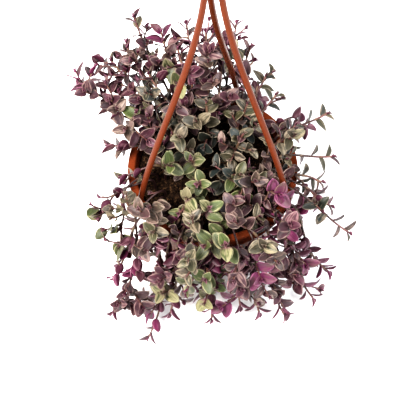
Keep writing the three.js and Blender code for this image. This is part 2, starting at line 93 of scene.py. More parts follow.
# Of each spray, as in the CAD part: its stems' lift, the share by which its leaves turn to the light, their
# drift round the stem and their rise, and then x, y, z and the slope in degrees of each stem's tip.
SPRAYS = {
    "left": (46, 0.1, 15, FOLDED, (
        (-119, 64, 154, 20), (-90, 80, 165, 40), (-76, 88, 174, 55), (-70, 110, 189, 65),
        (-44, 92, 178, 60), (-97, 44, 145, 15), (-92, 13, 132, 5), (-80, -18, 130, 0),
        (-102, -36, 98, -15))),
    "fringe": (34, 0.05, 15, FOLDED, (
        (-92, -98, 18, -25), (-58, -118, 9, -12), (-88, -78, 52, -50), (-38, -102, 26, -40),
        (0, -102, 14, -30), (26, -98, 34, -45), (44, -96, 16, -30), (68, -97, 11, -20),
        (94, -82, 18, -30), (108, -60, 30, -30), (84, -70, 62, -45))),
    "rosettes": (32, 0.75, 40, OPEN, (
        (18, -84, 96, -45), (-44, -88, 66, -50), (-6, -94, 70, -50), (50, -76, 88, -45),
        (-70, -66, 84, -35), (-18, -84, 100, -45), (-84, -48, 86, -25))),
    "right": (42, 0.35, 20, OPEN, (
        (100, 36, 150, 30), (105, 3, 132, 15), (96, -16, 120, 5), (120, -56, 100, -10),
        (46, 65, 165, 50), (55, 50, 158, 45), (72, 26, 147, 30), (64, -46, 138, 20),
        (104, -36, 112, 0))),
    "top": (62, 0, 12, FOLDED, (
        (20, 108, 184, 40), (30, 90, 168, 30), (-7, 99, 183, 45), (-24, 104, 188, 50),
        (-31, 80, 184, 60), (8, 78, 172, 40), (-56, 60, 174, 60))),
    "crown": (26, 0.6, 40, OPEN, (
        (-19, -13, 152, 70), (-13, -36, 148, 55), (-28, -56, 134, 30), (26, 6, 164, 75),
        (24, -30, 156, 55), (42, -34, 145, 40), (-6, 32, 174, 75), (-42, 20, 164, 65),
        (30, 36, 166, 65), (-46, -6, 130, 20))),
    "back": (36, 0.1, 15, FOLDED, (
        (-70, 84, 84, -35), (-16, 112, 70, -35), (46, 100, 76, -35), (88, 60, 92, -25))),
}

# ---------------------------------------------------------------- what grows where

# Kinds of leaves: how pink, how fresh and how cream they are.
KINDS = {
    "rosette": (0.03, 0.66, 0.50),
    "green": (0.02, 0.68, 0.25),
    "pale": (0.06, 0.60, 0.75),
    "olive": (0.14, 0.30, 0.60),
    "grey": (0.06, 0.12, 0.55),
    "slate": (0.00, 0.00, 0.25),
    "mauve": (0.52, 0.18, 0.52),
    "pinkish": (0.50, 0.40, 0.62),
    "plum": (0.82, 0.12, 0.50),
    "magenta": (0.95, 0.90, 0.40),
}

# The size of a side shoot's leaves where they are larger or smaller than the others.
KIND_SIZES = {
    "rosette": 1.18, "pale": 1.2, "magenta": 1.18, "pinkish": 1.12,
    "slate": 1.15, "green": 1.08, "plum": 1.08, "grey": 0.95,
}
LARGE_KIND = 1.1  # side shoots of kinds at least this large are placed first

# Of each spray: its leaves' first, second and third kind, a slot name and how many rounds of side
# shoots it gets.
LOOKS = {
    "left": ("plum", "mauve", "grey", "foliage_magenta", 7),
    "fringe": ("plum", "mauve", "magenta", "foliage_magenta", 6),
    "rosettes": ("olive", "rosette", "pinkish", "foliage_green", 8),
    "right": ("grey", "mauve", "olive", "foliage_grey", 1),
    "top": ("plum", "mauve", "grey", "foliage_magenta", 8),
    "crown": ("olive", "grey", "mauve", "foliage_green", 9),
    "back": ("plum", "olive", "mauve", "foliage_magenta", 6),
}

# Stems whose leaves are of other kinds than their spray's.
OTHER_LOOKS = {
    "stem_crown_1": ("rosette", "rosette", "rosette"), "stem_crown_2": ("rosette", "rosette", "rosette"),
    "stem_crown_3": ("rosette", "pale", "rosette"), "stem_crown_6": ("pinkish", "mauve", "olive"),
    "stem_crown_10": ("mauve", "grey", "slate"), "stem_left_7": ("mauve", "olive", "plum"),
    "stem_left_8": ("green", "olive", "green"), "stem_left_9": ("green", "rosette", "green"),
    "stem_rosettes_7": ("olive", "pale", "green"), "stem_rosettes_4": ("mauve", "pinkish", "olive"),
    "stem_right_4": ("mauve", "grey", "plum"), "stem_right_8": ("magenta", "mauve", "plum"),
    "stem_right_9": ("plum", "pinkish", "magenta"), "stem_top_7": ("grey", "mauve", "plum"),
    "stem_fringe_1": ("plum", "magenta", "plum"), "stem_fringe_2": ("plum", "magenta", "plum"),
    "stem_fringe_3": ("plum", "magenta", "mauve"), "stem_fringe_10": ("plum", "magenta", "mauve"),
    "stem_left_1": ("plum", "magenta", "plum"),
    "stem_right_5": ("grey", "olive", "grey"), "stem_right_6": ("grey", "olive", "grey"),
    "stem_crown_5": ("olive", "grey", "slate"), "stem_crown_4": ("olive", "grey", "mauve"),
}

# Side shoots with a place of their own: x, y, z of the tip and the kind of its leaves.
SIDE_SHOOTS = (
    (35, -82, 88, "pale"), (57, -50, 125, "magenta"), (56, -30, 132, "mauve"), (46, -22, 138, "pinkish"),
    (2, -17, 148, "slate"), (0, -38, 142, "slate"), (-4, -51, 122, "mauve"), (-56, -33, 128, "mauve"),
    (-47, -47, 122, "pinkish"), (-76, -23, 124, "green"), (-62, -16, 130, "green"),
    (-50, 21, 150, "pinkish"), (-76, 18, 150, "pinkish"), (-42, 64, 166, "olive"), (-55, 59, 160, "grey"),
    (-67, 33, 155, "rosette"), (-54, 34, 152, "olive"), (-52, 7, 138, "olive"), (-43, 11, 142, "rosette"),
    (-94, 71, 154, "plum"), (-107, 76, 154, "magenta"), (-96, 58, 148, "plum"), (-86, 83, 167, "plum"),
    (-77, 92, 176, "plum"), (-102, 82, 160, "plum"), (-46, 98, 184, "magenta"), (-33, 92, 182, "plum"),
    (-20, 88, 180, "plum"), (-14, 76, 172, "plum"), (12, 94, 178, "plum"), (0, 99, 182, "plum"),
    (28, 102, 184, "plum"), (33, 90, 174, "plum"), (36, 81, 165, "mauve"), (6, 76, 170, "plum"),
    (52, 68, 166, "grey"), (60, 48, 156, "grey"), (42, 59, 160, "grey"), (24, 8, 158, "olive"),
    (38, 18, 158, "olive"), (48, 8, 150, "olive"), (34, -2, 150, "grey"), (15, -12, 148, "olive"),
    (30, -16, 146, "olive"), (24, -36, 130, "green"), (18, -22, 134, "olive"), (20, -48, 122, "mauve"),
    (-88, -48, 104, "olive"), (-93, -60, 92, "pale"), (-81, -64, 90, "green"), (-70, -65, 94, "olive"),
    (-66, -42, 120, "green"), (-69, -50, 112, "olive"), (-52, -55, 118, "mauve"), (-73, -76, 66, "magenta"),
    (-58, -81, 60, "plum"), (-70, -97, 34, "plum"), (-41, -88, 80, "pale"), (-44, -97, 70, "pale"),
    (-8, -94, 72, "green"), (4, -94, 72, "green"), (-11, -84, 86, "green"), (8, -87, 84, "green"),
    (-13, -74, 96, "pinkish"), (-1, -74, 98, "olive"), (2, -90, 78, "mauve"), (-7, -104, 56, "pale"),
    (8, -105, 50, "magenta"), (10, 2, 134, "grey"), (22, -12, 132, "olive"), (8, -22, 130, "slate"),
    (34, -12, 134, "olive"), (10, 18, 138, "grey"), (-8, 8, 136, "slate"), (44, -46, 134, "mauve"),
    (-35, -61, 126, "green"), (-28, -68, 124, "rosette"), (-2, -75, 124, "olive"), (39, -61, 122, "olive"),
    (50, -68, 114, "mauve"), (63, -68, 108, "grey"), (34, -80, 100, "mauve"), (21, -85, 96, "olive"),
    (10, -82, 98, "olive"), (-29, -79, 108, "olive"), (-39, -71, 112, "mauve"), (-119, 66, 151, "magenta"),
    (-119, 75, 155, "magenta"), (-18, -68, 124, "olive"), (-9, -76, 120, "pinkish"), (8, -78, 118, "mauve"),
    (-39, 65, 176, "pale"), (-32, 51, 172, "pale"), (18, -26, 142, "green"), (42, -23, 140, "pinkish"),
    (0, -84, 104, "olive"), (16, -86, 104, "mauve"), (-16, -84, 106, "green"), (30, -82, 106, "plum"),
    (-30, -82, 104, "mauve"), (-58, 92, 176, "plum"), (-66, 84, 172, "mauve"), (-10, 100, 182, "plum"),
    (-38, 78, 176, "mauve"), (-22, 70, 172, "plum"), (-2, 64, 168, "mauve"), (18, 66, 166, "plum"),
    (30, 70, 164, "plum"), (-50, 84, 172, "grey"), (-64, 72, 164, "mauve"), (-76, 74, 162, "plum"),
    (-84, 66, 156, "mauve"), (-14, 88, 180, "plum"), (4, 88, 178, "mauve"), (20, 84, 172, "plum"),
    (22, 94, 180, "plum"), (-36, 66, 168, "plum"), (-28, 82, 178, "mauve"), (-8, 74, 174, "plum"),
    (-70, 52, 156, "plum"), (65, -2, 136, "olive"), (65, -20, 132, "mauve"), (42, -58, 126, "mauve"),
    (53, -47, 128, "pinkish"), (-28, -71, 118, "olive"), (-89, 42, 160, "plum"), (-80, 33, 158, "mauve"),
    (-54, 73, 176, "plum"), (-7, 109, 186, "plum"), (8, 84, 176, "plum"), (-21, 54, 168, "plum"),
    (103, -56, 30, "magenta"), (100, -73, 22, "plum"), (90, -58, 46, "plum"), (-89, 73, 158, "plum"),
    (-80, 68, 160, "plum"), (-65, 61, 164, "mauve"), (-72, 76, 170, "plum"), (-96, 62, 152, "plum"),
    (-83, 55, 154, "plum"), (-72, 55, 160, "plum"), (-103, 80, 158, "plum"), (-106, -33, 106, "rosette"),
    (-99, -26, 108, "green"), (-100, -40, 100, "pale"), (-95, -52, 96, "rosette"), (-81, -76, 82, "pale"),
    (76, -35, 112, "magenta"), (72, -26, 122, "mauve"), (87, -29, 110, "pinkish"), (68, 9, 134, "olive"),
    (69, -7, 130, "mauve"), (63, 25, 142, "mauve"), (54, -51, 124, "magenta"),
)

# The foliage as seen from the eye, by x and y where it covers the rim's level: its outline, the boxes that
# leaves above the soil keep clear of, and the boxes that all leaves keep clear of.
OUTLINE = (
    (-83, 170), (-67, 174), (-59, 153), (-40, 152), (-33, 163), (-19, 159), (3, 156), (15, 168), (22, 166),
    (32, 142), (42, 125), (36, 106), (54, 110), (65, 66), (70, 57), (78, 46), (96, 67), (110, 45), (98, 35),
    (89, 21), (81, 20), (79, 9), (94, 15), (109, 9), (93, -2), (102, -24), (95, -31), (117, -32),
    (125, -41), (124, -55), (117, -72), (101, -63), (80, -65), (83, -84), (99, -92), (101, -101),
    (93, -126), (72, -134), (75, -145), (56, -152), (41, -142), (23, -135), (11, -136), (9, -151),
    (1, -150), (-4, -136), (-19, -137), (-39, -127), (-37, -146), (-48, -155), (-44, -167), (-54, -170),
    (-61, -159), (-89, -139), (-83, -126), (-73, -125), (-73, -97), (-92, -76), (-105, -61), (-106, -44),
    (-98, -32), (-89, -34), (-80, -42), (-74, -40), (-79, -30), (-79, -10), (-75, -6), (-95, 10), (-96, 17),
    (-88, 27), (-89, 46), (-103, 55), (-102, 66), (-110, 72), (-130, 79), (-133, 99), (-117, 112),
    (-106, 120), (-93, 119), (-86, 129), (-75, 131), (-70, 142),
)
CLEARINGS = (
    (-77, -26, -65, 17), (-63, -38, -42, 14), (11, -75, 31, -58), (30, 64, 44, 86), (-38, -44, -28, -8),
    (-11, -66, -2, -46),
)
GAPS = (
    (32, 89, 45, 110), (41, 69, 55, 88), (47, 56, 61, 71), (80, 39, 90, 50), (76, 8, 96, 34),
    (88, -25, 100, -15), (75, -54, 86, -45), (-82, -72, -60, -48), (-97, -62, -90, -48),
    (106, -66, 116, -55), (73, -75, 79, -66), (-91, -80, -81, -68), (-77, -100, -63, -87),
    (87, -106, 99, -98), (60, -128, 71, -116), (28, -137, 37, -129), (-50, -149, -38, -137),
    (-59, -104, -48, -93), (-13, 140, -2, 170), (77, -67, 89, -51), (90, -69, 103, -55), (66, 46, 79, 62),
)

UP = np.array((0.0, 0.0, 1.0))
LIGHT = np.array((0.0, -0.35, 0.94))  # where the leaves turn to

EYE_ELEVATION = math.radians(59.5)
EYE_DISTANCE = 1100.0  # from the middle of the rim
EYE_WAY = np.array((0.0, -math.cos(EYE_ELEVATION), math.sin(EYE_ELEVATION)))
EYE = np.round(RIM_Z * UP + EYE_DISTANCE * EYE_WAY, 1)

# ---------------------------------------------------------------- camera, floor and light


def put_up(name, data, place, aim):
    """A camera or lamp at a place in metres, turned to where it aims."""
    made = bpy.data.objects.new(name, data)
    scene.collection.objects.link(made)
    made.location = place
    made.rotation_mode = "QUATERNION"
    made.rotation_quaternion = Vector(aim).to_track_quat("-Z", "Y")
    return made


def make_camera():
    """The photograph's view: the eye looks a little past the middle of the rim."""
    focal_px = 1248.5
    image_width = 416
    rim_off_centre = (4.5, 41.5)  # of the rim's middle in the picture, to the right and up, in pixels
    right = np.array((1.0, 0.0, 0.0))
    over = np.cross(right, -EYE_WAY)
    aim = -EYE_WAY * focal_px - right * rim_off_centre[0] - over * rim_off_centre[1]
    data = bpy.data.cameras.new("camera")
    data.sensor_width = 36.0
    data.lens = focal_px / image_width * data.sensor_width
    place = (RIM_Z * UP + EYE_DISTANCE * EYE_WAY) * MM
    scene.camera = put_up("camera", data, place, aim)


def add_light(name, place, size, power, colour):
    data = bpy.data.lights.new(name, "AREA")
    data.shape = "SQUARE"
    data.size = size
    data.energy = power
    data.color = colour
    among_leaves = Vector((0, 0, 0.12))
    put_up(name, data, place, among_leaves - Vector(place))


def make_surroundings():
    half = 3.0
    under_foot = 0.0003  # so that the floor and the foot's flat face don't share a level
    mesh = bpy.data.meshes.new("floor")
    corners = [(-half, -half, 0), (half, -half, 0), (half, half, 0), (-half, half, 0)]
    mesh.from_pydata(corners, [], [(0, 1, 2, 3)])
    floor = bpy.data.objects.new("floor", mesh)
    scene.collection.objects.link(floor)
    floor.location = (0, 0, -under_foot)
    graph = Graph("pale_floor", 1.0)
    paper = graph.noise(graph.position(), 40.0, 2)
    graph.colour(graph.ramp(paper, ((0.3, (236, 237, 238)), (0.7, (241, 241, 241)))))
    graph.value("Roughness", 0.9)
    mesh.materials.append(graph.material)

    world = bpy.data.worlds.new("studio")
    world.use_nodes = True
    background = world.node_tree.nodes["Background"]
    background.inputs["Color"].default_value = (1.0, 1.0, 1.0, 1.0)
    background.inputs["Strength"].default_value = 0.42
    scene.world = world
    add_light("softbox_left", (-0.8, -0.7, 1.6), 0.7, 80, (1.0, 0.98, 0.95))
    add_light("softbox_right", (1.0, -0.3, 1.5), 0.9, 44, (0.95, 0.97, 1.0))
    scene.view_settings.view_transform = "Standard"
    scene.view_settings.look = "High Contrast"


# ---------------------------------------------------------------- materials


def linear(rgb, shade):
    """A linear colour from sRGB numbers from 0 to 255 as they look in the strong light, so it is darkened."""
    parts = [c / 255 for c in rgb]
    return [shade * (c / 12.92 if c <= 0.04045 else ((c + 0.055) / 1.055) ** 2.4) for c in parts] + [1.0]


class Graph:
    """A material's nodes. Most methods add a node from outputs, numbers or colours and return its output."""

    def __init__(self, name, shade=0.6):
        self.shade = shade
        self.material = bpy.data.materials.new(name)
        self.material.use_nodes = True
        self.tree = self.material.node_tree
        self.shader = self.tree.nodes["Principled BSDF"]

    def put(self, socket, value):
        if isinstance(value, bpy.types.NodeSocket):
            self.tree.links.new(value, socket)
        elif isinstance(value, tuple) and socket.type == "RGBA":
            socket.default_value = linear(value, self.shade)
        else:
            socket.default_value = value

    def node(self, kind, inputs=None, **settings):
        """A new node's outputs."""
        made = self.tree.nodes.new(kind)
        for key, value in settings.items():
            setattr(made, key, value)
        for key, value in (inputs or {}).items():
            self.put(made.inputs[key], value)
        return made.outputs

    def position(self):
        return self.node("ShaderNodeTexCoord")["Object"]

    def split(self, vector):
        return tuple(self.node("ShaderNodeSeparateXYZ", {0: vector}))

    def attribute(self, name):
        return self.split(self.node("ShaderNodeAttribute", attribute_name=name)["Vector"])

    def vector(self, x, y, z):
        return self.node("ShaderNodeCombineXYZ", {0: x, 1: y, 2: z})[0]

    def math(self, operation, a, b=0.0, clamp=False):
        return self.node("ShaderNodeMath", {0: a, 1: b}, operation=operation, use_clamp=clamp)[0]

    def times(self, a, b):
        return self.math("MULTIPLY", a, b)

    def plus(self, a, b, clamp=False):
        return self.math("ADD", a, b, clamp)

    def noise(self, where, scale, detail, roughness=0.5):
        inputs = {"Vector": where, "Scale": scale, "Detail": detail, "Roughness": roughness}
        return self.node("ShaderNodeTexNoise", inputs)["Fac"]

    def step(self, value, low, high):
        """From 0 at low to 1 at high."""
        inputs = {"Value": value, "From Min": low, "From Max": high}
        return self.node("ShaderNodeMapRange", inputs, interpolation_type="SMOOTHSTEP")["Result"]

    def mix(self, a, b, share):
        return self.node("ShaderNodeMix", {"Factor": share, 6: a, 7: b}, data_type="RGBA")[2]

    def ramp(self, value, stops):
        made = self.tree.nodes.new("ShaderNodeValToRGB")
        self.put(made.inputs[0], value)
        elements = made.color_ramp.elements
        while len(elements) < len(stops):
            elements.new(0.5)
        for element, (place, rgb) in zip(elements, stops):
            element.position = place
            element.color = linear(rgb, self.shade)
        return made.outputs["Color"]

    def colour(self, value):
        self.value("Base Color", value)

    def value(self, name, value):
        self.put(self.shader.inputs[name], value)

    def bump(self, height, distance_mm, strength=1.0):
        inputs = {"Height": height, "Distance": distance_mm * MM, "Strength": strength}
        self.value("Normal", self.node("ShaderNodeBump", inputs)["Normal"])


def plastic_material(name, shade, back_shade_share=0.0):
    """Terracotta-coloured moulded plastic with a faint speckle, with painted shade by a share towards the
    back.
    """
    graph = Graph(name, shade)
    where = graph.position()
    speckle = graph.noise(where, 1500.0, 3, 0.7)
    cloud = graph.noise(where, 35.0, 3)
    body = graph.ramp(cloud, ((0.3, (150, 75, 44)), (0.7, (164, 87, 54))))
    body = graph.mix(body, graph.ramp(speckle, ((0.35, (104, 46, 28)), (0.65, (184, 100, 62)))), 0.3)
    # Painted shade: darker towards the back, where the rear arm stands in the shade of the foliage and the
    # other arms.
    _, depth, _ = graph.split(where)
    painted_back_shade = graph.times(graph.step(depth, 3 * MM, 12 * MM), back_shade_share)
    graph.colour(graph.mix(body, (74, 34, 20), painted_back_shade))
    graph.value("Roughness", graph.step(cloud, 0.0, 1.6))
    graph.value("Specular IOR Level", 0.06)
    graph.bump(speckle, 0.08, 0.5)
    return graph.material


def soil_material():
    graph = Graph("dark_soil")
    where = graph.position()
    crumbs = graph.noise(where, 420.0, 5, 0.7)
    patches = graph.noise(where, 90.0, 3)
    dark = graph.ramp(crumbs, ((0.3, (16, 10, 8)), (0.52, (50, 35, 25)), (0.74, (140, 108, 78))))
    graph.colour(graph.mix(dark, (26, 17, 12), graph.step(patches, 0.45, 0.8)))
    graph.value("Roughness", 0.95)
    graph.value("Specular IOR Level", 0.1)
    graph.bump(crumbs, 1.2)
    return graph.material


def leaf_parts(graph):
    """What both sides of a leaf share: its foot and tip, tones, fine streaks, patches and pale parts."""
    along, across, seed = graph.attribute("leaf")
    pink, fresh, cream = graph.attribute("tone")
    shift = graph.times(seed, 61.0)

    def streaks(over_width, over_length, detail):
        where = graph.vector(graph.times(across, over_width), graph.times(along, over_length), shift)
        return graph.noise(where, 1.0, detail)

    broad, fine, patchy = streaks(3.2, 0.7, 2), streaks(13.0, 1.1, 2), streaks(1.4, 2.2, 3)
    open_share = graph.math("SUBTRACT", 0.78, graph.times(cream, 0.5))
    level = graph.plus(graph.times(broad, 0.55), graph.times(patchy, 0.45))
    stripes = graph.step(level, open_share, graph.plus(open_share, 0.13))
    edge = graph.math("ABSOLUTE", across)
    wavy = graph.plus(edge, graph.times(graph.math("SUBTRACT", patchy, 0.5), 0.75))
    strength = graph.plus(graph.times(cream, 0.75), 0.5, True)
    margin = graph.times(graph.step(wavy, 0.70, 0.92), strength)
    tip = graph.step(along, 0.86, 1.0)
    pale = graph.math("MAXIMUM", graph.times(stripes, 0.72), graph.math("MAXIMUM", margin, tip))
    return along, pink, fresh, fine, patchy, pale


def upper_material():
    """Green between cream stripes, or purple with rosy stripes as far as the leaf is pink."""
    graph = Graph("leaf_upper")
    along, pink, fresh, fine, patchy, pale = leaf_parts(graph)
    green = graph.ramp(fresh, ((0.0, (58, 67, 66)), (0.3, (80, 77, 58)), (1.0, (100, 116, 62))))
    green = graph.mix(green, (38, 40, 32), graph.times(graph.step(fine, 0.62, 0.38), 0.55))
    cream = graph.mix((178, 160, 144), (196, 190, 142), fresh)
    cream = graph.mix(cream, (112, 106, 84), graph.times(graph.step(fine, 0.6, 0.4), 0.6))
    plain = graph.mix(green, cream, graph.times(pale, 0.85))
    rosy = graph.mix((88, 46, 60), (122, 50, 92), fresh)
    rosy = graph.mix(rosy, (58, 32, 40), graph.times(graph.step(fine, 0.62, 0.4), 0.45))
    rosy_stripes = graph.mix((176, 148, 138), (172, 108, 142), fresh)
    rosy = graph.mix(rosy, rosy_stripes, graph.times(pale, 0.66))
    foot = graph.times(graph.step(along, 0.32, 0.05), graph.step(fresh, 0.4, 1.0))
    blush = graph.times(pink, graph.plus(0.3, graph.times(patchy, 1.2)))
    graph.colour(graph.mix(plain, rosy, graph.plus(blush, foot, True)))
    graph.value("Roughness", 0.48)
    graph.value("Specular IOR Level", 0.35)
    graph.bump(fine, 0.25, 0.6)
    return graph.material


def lower_material():
    """Purple with paler stripes, brighter where the leaf is fresh and pink."""
    graph = Graph("leaf_lower")
    _, pink, fresh, fine, _, pale = leaf_parts(graph)
    bright = graph.math("MULTIPLY", fresh, graph.plus(0.5, pink), True)
    purple = graph.mix((88, 50, 62), (134, 62, 98), bright)
    purple = graph.mix(purple, (60, 32, 42), graph.times(graph.step(fine, 0.62, 0.38), 0.5))
    light = graph.mix((168, 138, 134), (200, 146, 166), pink)
    graph.colour(graph.mix(purple, light, graph.times(pale, 0.52)))
    graph.value("Roughness", 0.42)
    graph.value("Specular IOR Level", 0.4)
    graph.bump(fine, 0.25, 0.6)
    return graph.material


def stem_material():
    """Dark brown below and pinkish towards the tip, with pale nodes."""
    graph = Graph("stem_skin")
    young, node, _ = graph.attribute("leaf")
    mottle = graph.noise(graph.position(), 700.0, 3, 0.6)
    old = graph.ramp(mottle, ((0.3, (44, 26, 26)), (0.7, (74, 44, 42))))
    new = graph.ramp(mottle, ((0.3, (96, 52, 60)), (0.7, (136, 88, 86))))
    skin = graph.mix(old, new, young)
    graph.colour(graph.mix(skin, (150, 128, 96), graph.times(node, 0.45)))
    graph.value("Roughness", 0.5)
    graph.bump(mottle, 0.15, 0.5)
    return graph.material


# ---------------------------------------------------------------- helpers


def chance(n):
    """The same number between 0 and 1 for the same n."""
    s = math.sin(n * 12.9898) * 43758.5453
    return s - math.floor(s)


def mixed(a, b, t):
    return a + (b - a) * t


def unit(v):
    return v / np.linalg.norm(v)


def polar(radius, bearing, z):
    return np.array((radius * math.cos(bearing), radius * math.sin(bearing), z))


def turned_about(v, axis, angle):
    """v turned about the unit vector axis."""
    c, s = math.cos(angle), math.sin(angle)
    return v * c + np.cross(axis, v) * s + axis * (axis @ v) * (1 - c)


def bezier(a, b, c, d, t):
    s = 1 - t
    return a * s**3 + b * 3 * s * s * t + c * 3 * s * t * t + d * t**3


def ring_angles(count):
    return np.arange(count) * 2 * math.pi / count


def ring(radius, z, angles):
    return [(radius * math.cos(a), radius * math.sin(a), z) for a in angles]


def ring_faces(rings, sides, first=0):
    """Faces between rings of corners, whose numbers start at the first given."""
    faces = []
    for r in range(rings - 1):
        for s in range(sides):
            a, b = first + r * sides + s, first + r * sides + (s + 1) % sides
            faces.append((a, b, b + sides, a + sides))
    return faces


def tube_faces(rings, sides):
    """Faces of a tube that is closed by its first and last ring."""
    last = (rings - 1) * sides
    return ring_faces(rings, sides) + [tuple(range(sides - 1, -1, -1)), tuple(last + s for s in range(sides))]


def lathe_faces(rings, sides):
    """Faces of a body of rings between a lowest corner, the first, and a highest, the last."""
    top = 1 + (rings - 1) * sides
    faces = ring_faces(rings, sides, 1)
    for s in range(sides):
        n = (s + 1) % sides
        faces += [(0, 1 + n, 1 + s), (top + s, top + n, top + sides)]
    return faces


def wall_outside_r(z):
    return FOOT_R + (WALL_TOP_R - FOOT_R) / RIM_Z * z


SOIL_EDGE = wall_outside_r(SOIL_Z) - WALL


def soil_top_at(radius):
    return SOIL_Z + SOIL_CROWN * (1 - (radius / SOIL_EDGE) ** 2)


def arm_point(bearing, t):
    """The middle of an arm, from its top at t = 0 to the rim at t = 1."""
    share = ARM_START * t + ARM_BOW * t * t + (1 - ARM_START - ARM_BOW) * t * t * t
    top = polar(ARM_TOP_R, math.radians(bearing + ARM_TWIST), 0) + np.array((ARM_LEAN, 0, 0))
    point = mixed(top, polar(ARM_SEAT_R, math.radians(bearing), 0), share)
    point[2] = mixed(ARM_TOP_Z, RIM_Z + GAP + 0.1, t)
    return point


ARM_LINES = [np.array([arm_point(b, i / 80) for i in range(81)]) for b in ARM_BEARINGS]


SHARP_FROM = math.radians(40)  # an edge that turns more than this stays sharp


def smooth(mesh):
    mesh.polygons.foreach_set("use_smooth", [True] * len(mesh.polygons))


def object_from(name, points, faces):
    """A smooth mesh object from points in millimetres."""
    mesh = bpy.data.meshes.new(name)
    mesh.from_pydata((np.asarray(points) * MM).tolist(), [], faces)
    smooth(mesh)
    made = bpy.data.objects.new(name, mesh)
    scene.collection.objects.link(made)
    return made


def apply_modifiers(made):
    graph = bpy.context.evaluated_depsgraph_get()
    mesh = bpy.data.meshes.new_from_object(made.evaluated_get(graph))
    made.modifiers.clear()
    made.data = mesh


def hand_in(made, node, slot, *materials):
    """The object stands for the CAD node and rides on the part's one body."""
    for material in materials:
        made.data.materials.append(material)
    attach(made, "root")
    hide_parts(node)


# ---------------------------------------------------------------- stem routes, as in the CAD part

# What a route tries until it has room: a root nearer or further out, more or less lift, and a turned root.
ROOT_STEPS = (0, -6, -12, 4)
LIFT_STEPS = (0, 5, 10, -6)
TURN_STEPS = (0, 6, -6, 12, -12, 18, -18, 25, -25)
FREE_WIDTH = 3.7  # the room at which it stops trying
CREST_TURN = 0.5  # share of the root's turn that its crest over the rim takes
LEAST_ROOT_R, MOST_ROOT_R = 5, 61
ABOVE_SOIL = 1  # where a stem's middle line starts
HANG_BELOW = RIM_Z + 8  # a tip outside the rim and lower than this hangs over it
CREST_R = RIM_R + 3
CREST_RISE = 8
RIM_BONUS = 1.5  # a stem may come this much closer to the rim than to another stem
ARM_MALUS = 2  # and stays this much further away from an arm
SAMPLES = 60


def stem_route(root, tip, slope, lift, crest_rise, crest_bearing):
    """A stem's middle line: up and over to its tip, or over a crest above the rim where it hangs."""
    start = np.array((root[0], root[1], soil_top_at(math.hypot(root[0], root[1])) + ABOVE_SOIL))
    outward = unit(np.array((tip[0] - root[0], tip[1] - root[1], 0.0)))
    heading = outward * math.cos(slope) + UP * math.sin(slope)
    tip_r = math.hypot(tip[0], tip[1])
    t = np.linspace(0, 1, SAMPLES + 1)[:, None]
    if not (tip_r > RIM_R and tip[2] < HANG_BELOW):
        reach = np.linalg.norm(start - tip)
        return bezier(start, start + UP * lift, tip - heading * ARRIVE_SHARE * reach, tip, t)
    crest = polar(CREST_R, crest_bearing, RIM_Z + crest_rise)
    level = min(0.5 * (tip_r - CREST_R) + 6, ARCH)
    fall = FALL_SHARE * np.linalg.norm(crest - tip)
    half = SAMPLES // 2
    rising = bezier(start, start + UP * 0.5 * lift, crest - outward * ARCH, crest, 2 * t[:half])
    falling = bezier(crest, crest + outward * level, tip - heading * fall, tip, 2 * t[half:] - 1)
    return np.vstack((rising, falling))


def nearest(a, b):
    return math.sqrt(((a[:, None] - b[None]) ** 2).sum(2).min())


def rim_distance(points):
    radius = np.hypot(points[:, 0], points[:, 1])
    across = np.maximum(np.maximum(radius - RIM_R, WALL_TOP_R - WALL - radius), 0)
    above = np.maximum(np.maximum(points[:, 2] - RIM_Z, RIM_Z - COLLAR_HEIGHT - points[:, 2]), 0)
    return np.hypot(across, above)


def room_around(points, others):
    """The least distance from points to the rim, the other stems and the arms."""
    room = (rim_distance(points) + RIM_BONUS).min()
    if others:
        room = min(room, nearest(points, np.vstack(others)))
    return min(room, nearest(points, np.vstack(ARM_LINES)) - ARM_MALUS)


def find_route(row, lift, others):
    """The first route to a tip that has room, or else the one that has the most."""
    tip, slope = np.array(row[:3], float), math.radians(row[3])
    bearing = math.atan2(tip[1], tip[0])
    best_room, best = -1e9, None
    for root_step, lift_step, turn_step in product(ROOT_STEPS, LIFT_STEPS, TURN_STEPS):
        root_r = min(8 + 0.42 * math.hypot(tip[0], tip[1]), 60) + root_step
        turn = math.radians(turn_step)
        root = polar(max(min(root_r, MOST_ROOT_R), LEAST_ROOT_R), bearing + turn, 0)
        crest_rise = CREST_RISE + 0.8 * lift_step
        points = stem_route(root, tip, slope, lift + lift_step, crest_rise, bearing + CREST_TURN * turn)
        room = room_around(points, others)
        if room > best_room:
            best_room, best = room, points
        if room > FREE_WIDTH:
            break
    return best


# ---------------------------------------------------------------- leaves

# For a stem's leaves counted from the tip: the distance to the tip and the share of full size.
LEAF_SPACING = (3, 6.5, 12, 19.5, 28.5, 38.5)
LEAF_SHARE = (0.8, 0.95, 1, 1, 1, 0.95)
MOST_LEAF_TURN = math.radians(55)  # to the light


class Path:
    """A middle line by length."""

    def __init__(self, points):
        self.points = points
        steps = np.linalg.norm(np.diff(points, axis=0), axis=1)
        self.lengths = np.concatenate(((0.0,), np.cumsum(steps)))
        self.total = self.lengths[-1]

    def at(self, distance):
        d = min(max(distance, 0.0), self.total)
        i = 1
        while i < len(self.points) - 1 and self.lengths[i] < d:
            i += 1
        t = (d - self.lengths[i - 1]) / (self.lengths[i] - self.lengths[i - 1])
        point = mixed(self.points[i - 1], self.points[i], t)
        return point, unit(self.points[i] - self.points[i - 1])

    def distance_of(self, point):
        """How far along it a point of it lies."""
        i = int(np.argmin(((self.points - point) ** 2).sum(1)))
        return float(self.lengths[i])


def sideways(ahead, seed):
    level = np.cross(ahead, UP)
    if np.linalg.norm(level) < 0.3:
        level = np.array((math.cos(seed), math.sin(seed), 0.0))
    return unit(level - ahead * (level @ ahead))


